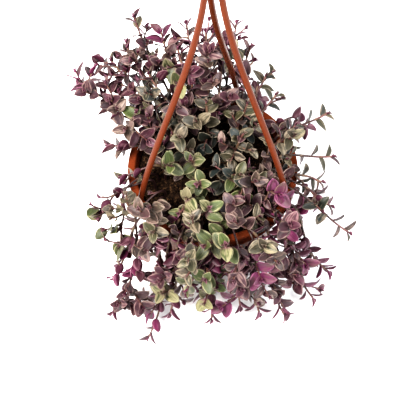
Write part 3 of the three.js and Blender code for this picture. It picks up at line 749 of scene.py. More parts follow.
def leaf_on(path, distance, seed, twist, rise, turn_share, size):
    """A leaf at a distance along a path. It rises from the stem and turns to the light by a share."""
    point, ahead = path.at(distance)
    side = sideways(ahead, seed)
    other = np.cross(ahead, side)
    outward = side * math.cos(twist) + other * math.sin(twist)
    axis = outward * math.cos(rise) + ahead * math.sin(rise)
    face = ahead * math.cos(rise) - outward * math.sin(rise)
    lit = LIGHT - axis * (LIGHT @ axis)
    angle = math.acos(max(-1.0, min(1.0, float(face @ unit(lit)))))
    turn = min(angle * turn_share, MOST_LEAF_TURN)
    sense = np.sign(np.cross(face, lit) @ axis)
    return {"point": point, "axis": axis, "face": turned_about(face, axis, sense * turn), "size": size}


def cad_leaf(stem, k, extra):
    """The k-th leaf from the tip, as the CAD part places it."""
    _, turn_share, drift, rises, _ = SPRAYS[stem["group"]]
    path, seed = stem["path"], stem["seed"]
    twist = math.radians(180 * k + drift * k + 30 * (chance(seed + k) - 0.5) + extra)
    rise = math.radians(rises[k] + 16 * (chance(seed + k + 31) - 0.5))
    size = LEAF_SHARE[k] * mixed(0.88, 1.1, chance(seed + k + 57))
    return leaf_on(path, path.total - LEAF_SPACING[k], seed, twist, rise, turn_share, size)


# Points on a leaf where its room is measured, as shares of its length and of half its width.
SAMPLE_PLACES = (
    (0.35, 0), (0.35, 0.6), (0.35, -0.6), (0.6, 0), (0.6, 0.75), (0.6, -0.75),
    (0.8, 0), (0.8, 0.4), (0.8, -0.4), (1, 0),
)


def leaf_samples(leaf):
    across = np.cross(leaf["face"], leaf["axis"])
    length, half = LEAF_LENGTH * leaf["size"], LEAF_WIDTH * leaf["size"] / 2
    return np.array([leaf["point"] + leaf["axis"] * u * length + across * v * half for u, v in SAMPLE_PLACES])


# How thick things are where room is measured.
ARM_THICK, STEM_THICK, SHOOT_THICK = 3.2, 1.6, 0.9


class Space:
    """Points of what is already there, each with its owner's number and how thick it is."""

    CAPACITY = 90000
    REACH = 16.0  # what is further away isn't looked at

    def __init__(self):
        self.points = np.zeros((self.CAPACITY, 3))
        self.owner = np.zeros(self.CAPACITY, int)
        self.thick = np.zeros(self.CAPACITY)
        self.count = 0

    def add(self, points, owner, thick):
        end = self.count + len(points)
        self.points[self.count:end] = points
        self.owner[self.count:end] = owner
        self.thick[self.count:end] = thick
        self.count = end

    def room(self, points, owner, family=-1):
        """The least distance to what others own; the family's stems don't count."""
        there = self.points[:self.count]
        centre = points.mean(0)
        near = (np.abs(there - centre) < self.REACH).all(1)
        near &= (self.owner[:self.count] != owner) & (self.owner[:self.count] != family)
        if not near.any():
            return self.REACH
        gaps = np.sqrt(((points[:, None] - there[near][None]) ** 2).sum(2)) - self.thick[:self.count][near]
        return gaps.min()


def pot_room(points):
    """How far points stay from the pot, the soil and the floor."""
    radius = np.hypot(points[:, 0], points[:, 1])
    z = points[:, 2]
    over = np.hypot(np.maximum(np.maximum(radius - RIM_R, WALL_TOP_R - WALL - radius), 0), z - RIM_Z)
    beside = radius - np.where(z > RIM_Z - COLLAR_HEIGHT - 2, RIM_R, wall_outside_r(z))
    inside = np.minimum(WALL_TOP_R - WALL - radius, z - soil_top_at(radius))
    room = np.where(z > RIM_Z, over, np.where(radius > WALL_TOP_R - WALL, beside, inside))
    room = np.where((z > RIM_Z) & (radius < SOIL_EDGE), np.minimum(room, z - soil_top_at(radius)), room)
    return np.minimum(room, z - 0.8).min()


# ---------------------------------------------------------------- growing the plant


def plant_stems():
    """The CAD part's stems, one after the other, each with a route that is free of those before it."""
    stems, lines = [], []
    for group, (lift, *_, rows) in SPRAYS.items():
        for index, row in enumerate(rows):
            points = find_route(row, lift, lines)
            lines.append(points)
            stems.append({
                "node": f"stem_{group}_{index + 1}", "group": group, "seed": 100 * len(stems),
                "path": Path(points), "number": len(stems), "leaves": [], "shoots": [],
            })
    return stems


def node_points(node):
    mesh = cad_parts[node].data
    flat = np.zeros(len(mesh.vertices) * 3, np.float32)
    mesh.vertices.foreach_get("co", flat)
    return flat.reshape(-1, 3) / MM


def kinds_of(stem):
    return OTHER_LOOKS.get(stem["node"], LOOKS[stem["group"]][:3])


def kind_of(stem, seed):
    """The kind of a stem's leaf or side shoot: half of them are of its first kind."""
    first, second, third = kinds_of(stem)
    draw = chance(seed + 1)
    return first if draw < 0.5 else second if draw < 0.8 else third


def tone_of(stem, seed, age, kind=None):
    """How pink, fresh and cream a leaf of its stem or of the kind given is, a little different for each."""
    pink, fresh, cream = KINDS[kind or kind_of(stem, seed)]
    pink += 0.35 * (chance(seed + 3) - 0.5) * (0.25 + pink) - 0.1 * age
    fresh += 0.3 * (chance(seed + 5) - 0.5) + 0.2 * (0.4 - age)
    cream += 0.4 * (chance(seed + 7) - 0.5)
    return [min(max(v, 0.0), 1.0) for v in (pink, fresh, cream)]


def take_cad_leaves(stem, space):
    """The leaves that the CAD node has, found by their tips among its corners."""
    corners = node_points(stem["node"])
    droop = 0.9  # of a CAD leaf's tip, below its foot's level
    for k in range(len(LEAF_SPACING)):
        for extra in (0, 20, -20, 38, -38):
            leaf = cad_leaf(stem, k, extra)
            tip = leaf["point"] + leaf["axis"] * LEAF_LENGTH * leaf["size"] - leaf["face"] * droop
            if np.abs(corners - tip).max(1).min() < 0.05:
                leaf["tone"] = tone_of(stem, stem["seed"] + 7 * k, k / len(LEAF_SPACING))
                leaf["seed"] = chance(stem["seed"] + k + 11)
                stem["leaves"].append(leaf)
                space.add(leaf_samples(leaf), stem["number"], 0.0)
                break


def seen_at(points):
    """Where points cover the rim's level, seen from the front above."""
    share = (EYE[2] - RIM_Z) / (EYE[2] - points[:, 2])
    return EYE[:2] + (points[:, :2] - EYE[:2]) * share[:, None]


def outside(points, slack=0.0):
    """How many of the points lie outside the foliage's outline or in one of its gaps."""
    seen = seen_at(points)
    corners = np.array(OUTLINE, float)
    after = np.roll(corners, -1, axis=0)
    x, y = seen[:, :1], seen[:, 1:]
    crosses = (corners[:, 1] > y) != (after[:, 1] > y)
    height = np.where(after[:, 1] == corners[:, 1], 1e-9, after[:, 1] - corners[:, 1])
    left = x < (after[:, 0] - corners[:, 0]) * (y - corners[:, 1]) / height + corners[:, 0]
    out = (crosses & left).sum(1) % 2 == 0
    if slack:
        edge = after - corners
        share = ((seen[:, None] - corners) * edge).sum(2) / (edge**2).sum(1)
        foot = corners + np.clip(share, 0, 1)[:, :, None] * edge
        out &= np.sqrt(((seen[:, None] - foot) ** 2).sum(2)).min(1) > slack
    above = points[:, 2] > SOIL_Z - 4
    for (x0, y0, x1, y1), concerned in [(box, above) for box in CLEARINGS] + [(box, True) for box in GAPS]:
        out |= concerned & (seen[:, 0] > x0) & (seen[:, 0] < x1) & (seen[:, 1] > y0) & (seen[:, 1] < y1)
    return int(out.sum())


POT_CLEARANCE = 0.8
LEAF_CLEARANCE = 1.05
OUTLINE_SLACK = 2.0
MOST_OUTSIDE = 2  # of a leaf's points


def try_leaf(stem, path, distance, space, seed, size, rise, twist, turn_share, age, owner, kind=None):
    """Adds a leaf at a distance along a path, turned to where it has room, or none."""
    for extra in (0, 25, -25, 50, -50, 80, -80):
        leaf = leaf_on(path, distance, seed, twist + math.radians(extra), rise, turn_share, size)
        samples = leaf_samples(leaf)
        if pot_room(samples) < POT_CLEARANCE or space.room(samples, owner) < LEAF_CLEARANCE:
            continue
        if outside(samples, OUTLINE_SLACK) > MOST_OUTSIDE:
            continue
        leaf["tone"] = tone_of(stem, seed, age, kind)
        leaf["seed"] = chance(seed + 11)
        space.add(samples, owner, 0.0)
        stem["leaves"].append(leaf)
        return


# The older leaves: how far the first is from the last of the others, how far one is from the next, what
# chance adds to it, and how near to the root they end.
INNER_START, INNER_STEP, INNER_LOOSE, INNER_END = 9, 8, 2.5, 7
INNER_RISE = math.radians(14)


def add_inner_leaves(stem, space):
    """Older leaves further down the stem than the CAD part's."""
    path = stem["path"]
    distance = path.total - LEAF_SPACING[-1] - INNER_START
    k = len(LEAF_SPACING)
    _, turn, drift, _, _ = SPRAYS[stem["group"]]
    while distance > INNER_END:
        seed = stem["seed"] + 17 * k
        twist = math.radians(180 * k + drift * k + 40 * (chance(seed) - 0.5))
        size = 0.85 + 0.2 * chance(seed + 2)
        try_leaf(stem, path, distance, space, seed, size, INNER_RISE, twist, turn, 1.0, stem["number"])
        distance -= INNER_STEP + INNER_LOOSE * chance(seed + 4)
        k += 1


# For a side shoot's leaves counted from the tip: the distance to the tip and the share of full size.
SHOOT_SPACING = (2.6, 5.6, 10.5, 17, 25, 34)
SHOOT_SHARE = (0.8, 0.95, 1.02, 1.0, 0.97, 0.92)
SHOOT_TURNS = {"top": 0.15, "left": 0.4, "back": 0.3}  # the share by which they turn to the light, by spray
OTHER_SHOOT_TURN = 0.38
OPEN_KINDS = ("rosette", "pale", "green")
OPEN_KIND_TURN = 0.75
SHOOT_LEAN = 0.8  # how much of the stem's direction it starts with
SHOOT_LIFT = 0.45  # how much it ends upwards
# A side shoot that finds its own place tries directions from one point of its stem.
DIRECTIONS = 18
LEAST_SHOOT_ROOM = 3.9
LEAST_POT_ROOM = 4
# A side shoot with a place of its own tries starts on all stems in reach, and its tip a little beside it.
SHORTEST_WAY, LONGEST_WAY = 11, 45
PLACED_POT_ROOM = 3
NUDGES = ((0, 0, 0), (3, 0, 0), (-3, 0, 0), (0, 3, 0), (0, -3, 0), (0, 0, 4), (0, 0, -4))
ROOM_GAIN = 2.2  # by how much each millimetre of room lowers a way's cost
MOST_ROOM = 6
# Where the rounds of side shoots start: from the tip to the first, from one round to the next, the most that
# chance adds to it, and how far they stay from the root.
FIRST_ROUND, NEXT_ROUND, LOOSE_ROUND, NEAR_ROOT = 26, 13, 6, 12


def grow_shoot(stem, distance, tip, space, seed, owner, kind=None):
    """A side shoot from the stem to the tip given, with its leaves."""
    start, ahead = stem["path"].at(distance)
    reach, way = np.linalg.norm(tip - start), unit(tip - start)
    lean = unit(way + SHOOT_LEAN * ahead)
    arrive = unit(way + SHOOT_LIFT * UP)
    t = np.linspace(0, 1, 15)[:, None]
    path = Path(bezier(start, start + lean * 0.35 * reach, tip - arrive * 0.4 * reach, tip, t))
    kind = kind or kind_of(stem, seed)
    stem["shoots"].append({"path": path, "seed": seed, "kind": kind})
    space.add(path.points[3:], owner, SHOOT_THICK)
    size = (0.9 + 0.2 * chance(seed + 9)) * KIND_SIZES.get(kind, 1.0)
    rises = FOLDED if kind in ("plum", "magenta") else OPEN
    turn = SHOOT_TURNS.get(stem["group"], OTHER_SHOOT_TURN)
    if kind in OPEN_KINDS:
        turn = OPEN_KIND_TURN
    for k, spacing in enumerate(SHOOT_SPACING):
        if spacing > path.total - 4:
            break
        twist = math.radians(180 * k + (40 if k < 3 else 20) * k + 360 * chance(seed + 1))
        try_leaf(stem, path, path.total - spacing, space, seed + 13 * k, size * SHOOT_SHARE[k],
                 math.radians(rises[k]), twist, turn, k / 6, owner, kind)


def find_shoot(stem, distance, space, seed, owner):
    """Where a side shoot has the most room: the best of a few directions."""
    start, ahead = stem["path"].at(distance)
    best_room, best = LEAST_SHOOT_ROOM, None
    for i in range(DIRECTIONS):
        n = seed + 3.7 * i
        loose = np.array((chance(n) - 0.5, chance(n + 1) - 0.5, chance(n + 2) - 0.5))
        direction = unit(0.5 * ahead + 0.35 * LIGHT + 1.5 * loose)
        length = 13 + 20 * chance(n + 5)
        probe = np.array([start + direction * length * s for s in (0.45, 0.7, 1.0, 1.25)])
        if pot_room(probe) < LEAST_POT_ROOM or outside(probe):
            continue
        room = space.room(probe, owner, stem["number"])
        if room > best_room:
            best_room, best = room, start + direction * length
    return best


def starts_near(stems, target):
    """Where a side shoot could start: a stem, a number of its points and its distance from the target."""
    for stem in stems:
        gaps = np.linalg.norm(stem["path"].points - target, axis=1)
        for i in range(4, len(gaps) - 3, 3):
            if SHORTEST_WAY < gaps[i] < LONGEST_WAY:
                yield stem, i, gaps[i]


def place_shoot(stems, row, space, owner):
    """A side shoot with a place of its own, from the nearest stem with a free way to it."""
    best_cost, best = 1e9, None
    target = np.array(row[:3], float)
    for stem, i, gap in starts_near(stems, target):
        path = stem["path"]
        start = path.points[i]
        ahead = unit(path.points[i + 1] - start)
        for step in NUDGES:
            tip = target + step
            probe = np.array([mixed(start, tip, s) for s in (0.35, 0.55, 0.8, 1.0)])
            if pot_room(probe) < PLACED_POT_ROOM:
                continue
            backwards = max(0, 0.2 - unit(tip - start) @ ahead)
            cost = 0.35 * gap + 6 * backwards + 0.7 * np.linalg.norm(step)
            if cost > best_cost + ROOM_GAIN * MOST_ROOM:
                continue
            cost -= ROOM_GAIN * min(space.room(probe, owner, stem["number"]), MOST_ROOM)
            if cost < best_cost:
                best_cost, best = cost, (stem, path.lengths[i], tip)
    if best:
        grow_shoot(*best, space, 40000 + 31 * owner, owner, row[3])


def is_small(row):
    return KIND_SIZES.get(row[3], 1.0) < LARGE_KIND


def grow_plant():
    """The stems with all their leaves and side shoots, those that must be at their place first."""
    stems = plant_stems()
    space = Space()
    arms_owner, placed_owner, owner = -2, 500, 1000  # the stems' numbers are below 500
    for line in ARM_LINES:
        space.add(line, arms_owner, ARM_THICK)
    for stem in stems:
        space.add(stem["path"].points, stem["number"], STEM_THICK)
    for stem in stems:
        take_cad_leaves(stem, space)
    for i, row in enumerate(sorted(SIDE_SHOOTS, key=is_small)):
        place_shoot(stems, row, space, placed_owner + i)
    for stem in stems:
        add_inner_leaves(stem, space)
    for round_number in range(max(rounds for *_, rounds in LOOKS.values())):
        for stem in stems:
            distance = stem["path"].total - FIRST_ROUND - NEXT_ROUND * round_number
            distance -= LOOSE_ROUND * chance(stem["seed"] + round_number)
            if distance < NEAR_ROOT or round_number >= LOOKS[stem["group"]][4]:
                continue
            seed = stem["seed"] + 1000 * (round_number + 1)
            owner += 1
            tip = find_shoot(stem, distance, space, seed, owner)
            if tip is not None:
                grow_shoot(stem, distance, tip, space, seed, owner)
    return stems


# ---------------------------------------------------------------- fine leaves and stems

# Where a blade has corners: shares of its length, and of half its width to either side.
BLADE_ROWS = np.array((0.0, 0.07, 0.17, 0.29, 0.42, 0.55, 0.68, 0.8, 0.91))
BLADE_COLUMNS = np.linspace(-1, 1, 7)


def blade_faces():
    """Faces of a closed blade, and 1 for each upper and 2 for each lower one.

    Its corners are the upper side's rows, the tip, and then the inner ones of the lower side.
    """
    rows, columns = len(BLADE_ROWS), len(BLADE_COLUMNS)
    tip = rows * columns
    inner = columns - 2

    def upper(r, c):
        return r * columns + c

    def lower(r, c):
        if r == 0 or c in (0, columns - 1):
            return upper(r, c)
        return tip + 1 + (r - 1) * inner + c - 1

    faces, sides = [], []
    for r in range(rows - 1):
        for c in range(columns - 1):
            faces.append((upper(r, c), upper(r, c + 1), upper(r + 1, c + 1), upper(r + 1, c)))
            faces.append((lower(r, c), lower(r + 1, c), lower(r + 1, c + 1), lower(r, c + 1)))
            sides += [1, 2]
    for c in range(columns - 1):
        faces.append((upper(rows - 1, c), upper(rows - 1, c + 1), tip))
        faces.append((lower(rows - 1, c), tip, lower(rows - 1, c + 1)))
        sides += [1, 2]
    return faces, sides


BLADE_FACES, BLADE_SIDES = blade_faces()


def blade_points(leaf):
    """A leaf's corners: an egg-shaped blade, folded along its midrib, whose pointed tip bends down."""
    u, v = np.meshgrid(BLADE_ROWS, BLADE_COLUMNS, indexing="ij")
    seed = leaf["seed"]
    widest, foot_width = 0.4, 0.16
    outline = u**0.5 * (1 - u) ** 0.75
    outline = outline / (widest**0.5 * (1 - widest) ** 0.75)
    outline[0] = foot_width
    length = LEAF_LENGTH * leaf["size"]
    half = LEAF_WIDTH * leaf["size"] / 2 * (1.02 + 0.16 * chance(seed * 91))
    fold = 0.9 + 0.9 * chance(seed * 53)  # how high its edges stand over the midrib
    droop = 0.6 + 1.5 * chance(seed * 37)  # how far its tip bends down
    wave = 0.22 * np.sin(7 * u + 6 * seed + 2 * np.sign(v)) * np.abs(v)
    x = length * u
    y = half * outline * v
    middle = 0.5 * np.sin(math.pi * u) * (1.2 - 0.5 * fold) - droop * u**2.4
    z = middle - 0.35 + fold * outline * (np.abs(v) ** 1.5) + wave - 0.15
    thick = 0.34 * np.sqrt(np.maximum(1 - v * v, 0)) * np.minimum(1, 5 * u) * (1 - 0.55 * u)
    thick[0] = 0
    across = np.cross(leaf["face"], leaf["axis"])

    def place(x, y, z):
        return leaf["point"] + np.outer(x, leaf["axis"]) + np.outer(y, across) + np.outer(z, leaf["face"])

    top = place(x.ravel(), y.ravel(), (z + thick).ravel())
    tip = place([length], [0.0], [middle[-1, 0] - 0.5 - droop * 0.25])
    low = place(x[1:, 1:-1].ravel(), y[1:, 1:-1].ravel(), (z - thick)[1:, 1:-1].ravel())
    where = np.concatenate((
        np.stack((u.ravel(), v.ravel()), 1), [(1.0, 0.0)],
        np.stack((u[1:, 1:-1].ravel(), v[1:, 1:-1].ravel()), 1)))
    return np.vstack((top, tip, low)), where


class Piece:
    """Corners and faces of a piece, with what its materials read at each corner."""

    def __init__(self):
        self.points, self.faces, self.kinds, self.leaf, self.tone = [], [], [], [], []
        self.count = 0

    def add(self, points, faces, kinds, leaf, tone):
        self.points.append(points)
        self.faces += [tuple(i + self.count for i in face) for face in faces]
        self.kinds += kinds
        self.leaf.append(leaf)
        self.tone.append(tone)
        self.count += len(points)

    def build(self, name):
        made = object_from(name, np.vstack(self.points), self.faces)
        made.data.polygons.foreach_set("material_index", self.kinds)
        for key, rows in (("leaf", self.leaf), ("tone", self.tone)):
            values = made.data.attributes.new(key, "FLOAT_VECTOR", "POINT")
            values.data.foreach_set("vector", np.vstack(rows).astype(np.float32).ravel())
        return made


def add_blade(piece, leaf):
    points, where = blade_points(leaf)
    seeds = np.full((len(points), 1), leaf["seed"])
    tone = np.tile(leaf["tone"], (len(points), 1))
    piece.add(points, BLADE_FACES, BLADE_SIDES, np.hstack((where, seeds)), tone)


# A stem is thicker at a node: by what share, over what length and how far past the leaf's foot.
NODE_SWELL, NODE_LENGTH, NODE_PAST = 0.3, 0.9, 0.6


def add_stem(piece, path, distances, radii, young, nodes, sides):
    """A round stem with rings at the distances given, a little thicker at its nodes."""
    side = np.array((1.0, 0.0, 0.0))
    rings, marks = [], []
    angles = ring_angles(sides)
    for distance, radius, fresh in zip(distances, radii, young):
        point, ahead = path.at(distance)
        if distance < 0:
            point, ahead = path.points[0] + UP * distance, UP
        side = side - ahead * (side @ ahead)
        if np.linalg.norm(side) < 1e-3:
            side = np.cross(ahead, (0.3, 0.5, 0.8))
        side = unit(side)
        other = np.cross(ahead, side)
        bulge = min(sum(math.exp(-((distance - n - NODE_PAST) / NODE_LENGTH) ** 2) for n in nodes), 1.0)
        r = radius * (1 + NODE_SWELL * bulge)
        rings.append(point + r * (np.outer(np.cos(angles), side) + np.outer(np.sin(angles), other)))
        marks.append((fresh, bulge, 0.0))
    points, faces = np.vstack(rings), tube_faces(len(rings), sides)
    leaf = np.repeat(np.array(marks), sides, axis=0)
    piece.add(points, faces, [0] * len(faces), leaf, np.zeros((len(points), 3)))


def add_buds(piece, path, seed, turn_share, kind):
    """Two small folded leaves that are about to open at a tip."""
    pink, fresh, cream = KINDS[kind]
    tone = (0.8, 0.8, cream) if kind == "rosette" else (min(1.0, pink + 0.2), fresh + 0.1, cream)
    for k, (back, size, rise) in enumerate(((0.5, 0.27, 82), (1.4, 0.4, 70))):
        twist = math.radians(180 * k + 100 + 60 * chance(seed))
        bud = leaf_on(path, path.total - back, seed, twist, math.radians(rise), turn_share, size)
        add_blade(piece, dict(bud, tone=tone, seed=chance(seed + k + 77)))


# Of a main stem and of a side shoot: its radius at its start, how much thinner it gets, its radius at the
# very tip and the length from ring to ring.
STEM_RADIUS, STEM_TAPER, STEM_END, STEM_STEP = 1.15, 0.35, 0.25, 2.2
SHOOT_RADIUS, SHOOT_TAPER, SHOOT_END, SHOOT_STEP = 0.85, 0.25, 0.2, 2.6
YOUNG_LENGTH = 34.0  # of a main stem's fresh part at the tip


def add_main_stem(piece, stem):
    path = stem["path"]
    root = 0.5 - ROOT_DEPTH
    stations = np.concatenate(((root,), np.arange(0.0, path.total, STEM_STEP), (path.total,)))
    radii = STEM_RADIUS - STEM_TAPER * np.clip(stations / path.total, 0, 1)
    radii[-1] = STEM_END
    young = np.clip((stations - path.total + YOUNG_LENGTH) / YOUNG_LENGTH, 0, 1) ** 1.2
    nodes = [path.distance_of(leaf["point"]) for leaf in stem["leaves"]]
    add_stem(piece, path, stations, radii, young, nodes, 8)
    for leaf in stem["leaves"]:
        add_blade(piece, leaf)
    add_buds(piece, path, stem["seed"], SPRAYS[stem["group"]][1], kinds_of(stem)[0])


def add_shoot(piece, shoot, turn_share):
    path = shoot["path"]
    stations = np.concatenate((np.arange(0.0, path.total, SHOOT_STEP), (path.total,)))
    radii = SHOOT_RADIUS - SHOOT_TAPER * stations / path.total
    radii[-1] = SHOOT_END
    young = np.clip(stations / path.total, 0.25, 1)
    add_stem(piece, path, stations, radii, young, [path.total - spacing for spacing in SHOOT_SPACING], 6)
    add_buds(piece, path, shoot["seed"], turn_share, shoot["kind"])


def make_foliage(stems):
    materials = (stem_material(), upper_material(), lower_material())
    for stem in stems:
        piece = Piece()
        add_main_stem(piece, stem)
        for shoot in stem["shoots"]:
            add_shoot(piece, shoot, SPRAYS[stem["group"]][1])
        made = piece.build(stem["node"].replace("stem", "foliage"))
        *_, slot, _ = LOOKS[stem["group"]]
        hand_in(made, stem["node"], slot, *materials)


# ---------------------------------------------------------------- pot


def lathe(profile, sides):
    """A closed solid of revolution from radius and height pairs that start and end on the axis."""
    angles = ring_angles(sides)
    points = [(0, 0, profile[0][1])]
    for radius, z in profile[1:-1]:
        points += ring(radius, z, angles)
    points.append((0, 0, profile[-1][1]))
    return points, lathe_faces(len(profile) - 2, sides)


def rounded(profile, radius, steps=3):
    """The profile with its corners rounded, apart from its two ends."""
    out = [profile[0]]
    for before, corner, after in zip(profile, profile[1:], profile[2:]):
        p, q, r = (np.array(v, float) for v in (before, corner, after))
        cut = min(radius, 0.45 * np.linalg.norm(p - q), 0.45 * np.linalg.norm(r - q))
        a, b = q + unit(p - q) * cut, q + unit(r - q) * cut
        for i in range(steps + 1):
            t = i / steps
            out.append(tuple(a * (1 - t) ** 2 + q * 2 * t * (1 - t) + b * t * t))
    out.append(profile[-1])
    return out


def turned_box(width, depth, height, centre, bearing):
    """A box turned about the vertical axis by a bearing."""
    c, s = math.cos(math.radians(bearing)), math.sin(math.radians(bearing))
    points = []
    for dx, dy, dz in product((-0.5, 0.5), repeat=3):
        x, y = centre[0] + dx * width, centre[1] + dy * depth
        points.append((x * c - y * s, x * s + y * c, centre[2] + dz * height))
    faces = [(0, 1, 3, 2), (4, 6, 7, 5), (0, 4, 5, 1), (2, 3, 7, 6), (0, 2, 6, 4), (1, 5, 7, 3)]
    return points, faces


def joined(parts):
    """The points and faces of several bodies in one list each."""
    points, faces = [], []
    for some, theirs in parts:
        start = len(points)
        points += [tuple(p) for p in some]
        faces += [tuple(i + start for i in face) for face in theirs]
    return points, faces


FLOOR_R = wall_outside_r(FLOOR_THICKNESS) - WALL - 1  # of the pot's inside, where its wall meets the floor


def make_pot():
    """The pot with its rolled rim and collar, drain holes in its floor and slots for the arms' feet."""
    foot_edge, rim_edge, rounding = 1.5, 1.2, 0.9
    flange_z, collar_z = RIM_Z - FLANGE, RIM_Z - COLLAR_HEIGHT
    profile = [
        (0, 0), (FOOT_R - foot_edge, 0), (FOOT_R, foot_edge),
        (wall_outside_r(flange_z), flange_z), (SKIRT_INNER_R, flange_z),
        (SKIRT_INNER_R, collar_z), (RIM_R - 0.2, collar_z),
        (RIM_R, RIM_Z - rim_edge), (RIM_R - rim_edge, RIM_Z), (WALL_TOP_R - 0.6, RIM_Z),
        (WALL_TOP_R - WALL, RIM_Z - rim_edge), (FLOOR_R, FLOOR_THICKNESS), (0, FLOOR_THICKNESS),
    ]
    pot = object_from("pot_shell", *lathe(rounded(profile, rounding), 112))
    cuts = []
    for i in range(DRAIN_COUNT):
        centre = polar(DRAIN_CIRCLE_R, 2 * math.pi * (i + 0.5) / DRAIN_COUNT, 0)
        points, faces = lathe([(0, -1), (DRAIN_R, -1), (DRAIN_R, 5), (0, 5)], 24)
        cuts.append(([tuple(np.array(p) + centre) for p in points], faces))
    for bearing in ARM_BEARINGS:
        size = (ARM_FOOT_THICKNESS + 2 * GAP, ARM_WIDTH + 2 * GAP, 4 * FLANGE)
        cuts.append(turned_box(*size, (ARM_SEAT_R, 0, RIM_Z), bearing))
    cutter = object_from("cutter", *joined(cuts))
    cut = pot.modifiers.new("cut", "BOOLEAN")
    cut.operation = "DIFFERENCE"
    cut.solver = "EXACT"
    cut.object = cutter
    apply_modifiers(pot)
    bpy.data.objects.remove(cutter)
    smooth(pot.data)
    pot.data.set_sharp_from_angle(angle=SHARP_FROM)
    hand_in(pot, "pot", "pot_plastic", plastic_material("pot_plastic", 0.42))


# ---------------------------------------------------------------- hanger


def section(width, depth, count=16):
    """A rounded band's section: pairs across the width and the depth."""
    def swollen(x):
        return math.copysign(abs(x) ** 0.7, x)

    turns = [2 * math.pi * i / count for i in range(count)]
    return [(width / 2 * swollen(math.cos(a)), depth / 2 * swollen(math.sin(a))) for a in turns]


def sweep(middles, alongs, acrosses, outline, scales=None):
    """A closed solid: the outline carried along the middles, smaller where a scale says so."""
    points = []
    for middle, along, across, scale in zip(middles, alongs, acrosses, scales or [1.0] * len(middles)):
        depth = np.cross(along, across)
        points += [middle + across * u * scale + depth * v * scale for u, v in outline]
    return points, tube_faces(len(middles), len(outline))


def arm_parts(bearing):
    """An arm, its foot through the rim and the barb that holds it there."""
    shares = np.linspace(0, 1, 49)
    across = polar(1, math.radians(bearing + 90), 0)
    middles = [arm_point(bearing, t) for t in shares]
    alongs = [unit(arm_point(bearing, t + 0.01) - arm_point(bearing, t - 0.01)) for t in shares]
    alongs[-1] = -UP
    arm = sweep(middles, alongs, [across] * len(shares), section(ARM_WIDTH, ARM_THICKNESS))
    foot = (ARM_FOOT_THICKNESS, ARM_WIDTH, ARM_FOOT_LENGTH + 2)
    foot_z = RIM_Z + 2 - foot[2] / 2
    barb_z = RIM_Z - FLANGE - 0.5 - BARB_HEIGHT / 2
    barb_r = ARM_SEAT_R + ARM_FOOT_THICKNESS / 2 + 0.1
    return [
        arm, turned_box(*foot, (ARM_SEAT_R, 0, foot_z), bearing),
        turned_box(1, ARM_WIDTH, BARB_HEIGHT, (barb_r, 0, barb_z), bearing),
    ]


def boss_part():
    """The round piece that the arms run into."""
    radius = ARM_TOP_R + ARM_THICKNESS
    low, high = ARM_TOP_Z - BOSS_HEIGHT, ARM_TOP_Z
    points, faces = lathe(rounded([(0, low), (radius, low), (radius, high), (0, high)], 1.6, 5), 40)
    return np.array(points) + (ARM_LEAN, 0, 0), faces


def neck_part(band, height):
    steps = 12
    start = np.array((ARM_LEAN - 0.6, 0, ARM_TOP_Z - 1))
    middles = [start + UP * ((height - 0.5) * i / steps) for i in range(steps + 1)]
    return sweep(middles, [UP] * (steps + 1), [np.array((1.0, 0, 0))] * (steps + 1), band)


def hook_part(band, centre):
    """The hook: its free end is rounded off, and its other end runs into the neck."""
    middle_r = HOOK_INNER_R + HOOK_BAND / 2 + 0.1
    tip_scales = [0.35, 0.7, 0.88, 0.97, 1.0]
    tip_turns = np.linspace(-4.5, 0, len(tip_scales))
    turns = np.concatenate((
        tip_turns, np.linspace(4, HOOK_TURN - 4, 64), np.linspace(HOOK_TURN, HOOK_TURN + 2, 3)))
    radials = [polar(1, a, 0)[[0, 2, 1]] for a in np.radians(turns)]
    alongs = [np.array((-radial[2], 0, radial[0])) for radial in radials]
    middles = [centre + radial * middle_r for radial in radials]
    return sweep(middles, alongs, radials, band, tip_scales + [1.0] * (len(turns) - len(tip_scales)))


def make_hanger():
    parts = [part for bearing in ARM_BEARINGS for part in arm_parts(bearing)]
    parts.append(boss_part())
    band = section(HOOK_BAND, HOOK_THICKNESS, 20)
    centre = np.array((ARM_LEAN, 0, ARM_TOP_Z + NECK_LENGTH + HOOK_INNER_R + HOOK_BAND))
    parts.append(neck_part(band, centre[2] - HOOK_INNER_R - ARM_TOP_Z))
    parts.append(hook_part(band, centre))
    hanger = object_from("hanger_arms", *joined(parts))
    hanger.data.set_sharp_from_angle(angle=SHARP_FROM)
    # The last number is the share of painted shade towards the back.
    hand_in(hanger, "hanger", "hanger_plastic", plastic_material("hanger_plastic", 0.34, 0.4))


# ---------------------------------------------------------------- soil


SOIL_INSET = 0.6  # how far it stays inside the CAD part's soil
SOIL_TOP_R = SOIL_EDGE - GAP - SOIL_INSET
SOIL_FOOT_R = FLOOR_R - GAP - SOIL_INSET


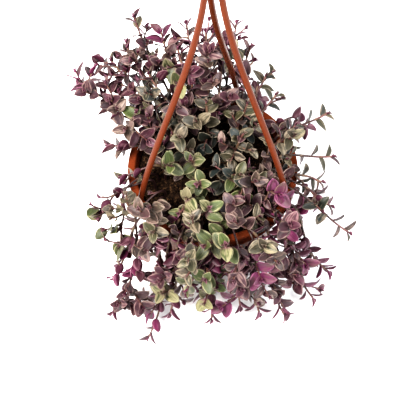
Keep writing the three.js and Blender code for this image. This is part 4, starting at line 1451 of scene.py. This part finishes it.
def soil_body():
    """The soil's body with a rough top."""
    sides, top_rings = 150, 46
    foot_z = FLOOR_THICKNESS + GAP
    angles = ring_angles(sides)
    points = [(0, 0, foot_z)] + ring(SOIL_FOOT_R, foot_z, angles)
    for r in range(top_rings):
        radius = SOIL_TOP_R * (1 - r / top_rings) ** 0.85
        for x, y, z in ring(radius, soil_top_at(radius) - 0.8, angles):
            rough = 2.2 * noise.noise(Vector((x, y, 0)) * 0.22) + 1.3 * noise.noise(Vector((x, y, 9)) * 0.6)
            points.append((x, y, z + (rough if r else -1.0)))
    points.append((0, 0, soil_top_at(0)))
    return points, lathe_faces(top_rings + 1, sides)


# A crumb: six corners on the axes and four between them, and its faces.
CRUMB_CORNERS = np.array([
    (1, 0, 0), (0, 1, 0), (0, 0, 1), (-1, 0, 0), (0, -1, 0), (0, 0, -1),
    (.7, .7, .2), (-.7, .7, .3), (-.7, -.7, -.2), (.7, -.7, -.3)], float)
CRUMB_FACES = (
    (0, 6, 2), (6, 1, 2), (1, 7, 2), (7, 3, 2), (3, 8, 4), (3, 4, 2), (4, 9, 0), (0, 2, 4), (0, 5, 6),
    (6, 5, 1), (1, 5, 7), (7, 5, 3), (3, 5, 8), (8, 5, 4), (4, 5, 9), (9, 5, 0),
)


def crumb(i):
    """The i-th loose crumb on the soil, most of them small."""
    radius = (SOIL_TOP_R - 2) * math.sqrt(chance(i + 0.3))
    size = 0.5 + 1.3 * chance(i + 0.1) ** 3
    centre = polar(radius, 2 * math.pi * chance(i + 0.7), soil_top_at(radius) + 0.1 + 0.6 * chance(i + 0.9))
    stretch = np.array((1, 0.6 + 0.8 * chance(i + 0.2), 0.5 + 0.5 * chance(i + 0.4)))
    shape = CRUMB_CORNERS * stretch * size * (0.8 + 0.4 * chance(i + 0.6))
    spin = 6.28 * chance(i + 0.5)
    x = shape[:, 0] * math.cos(spin) - shape[:, 1] * math.sin(spin)
    y = shape[:, 0] * math.sin(spin) + shape[:, 1] * math.cos(spin)
    return np.stack((x, y, shape[:, 2]), 1) + centre, CRUMB_FACES


def make_soil():
    crumbs = 1500
    soil = object_from("pot_soil", *joined([soil_body()] + [crumb(i) for i in range(crumbs)]))
    hand_in(soil, "soil", "soil", soil_material())


# ---------------------------------------------------------------- the whole scene

make_camera()
make_surroundings()
make_pot()
make_hanger()
make_soil()
make_foliage(grow_plant())
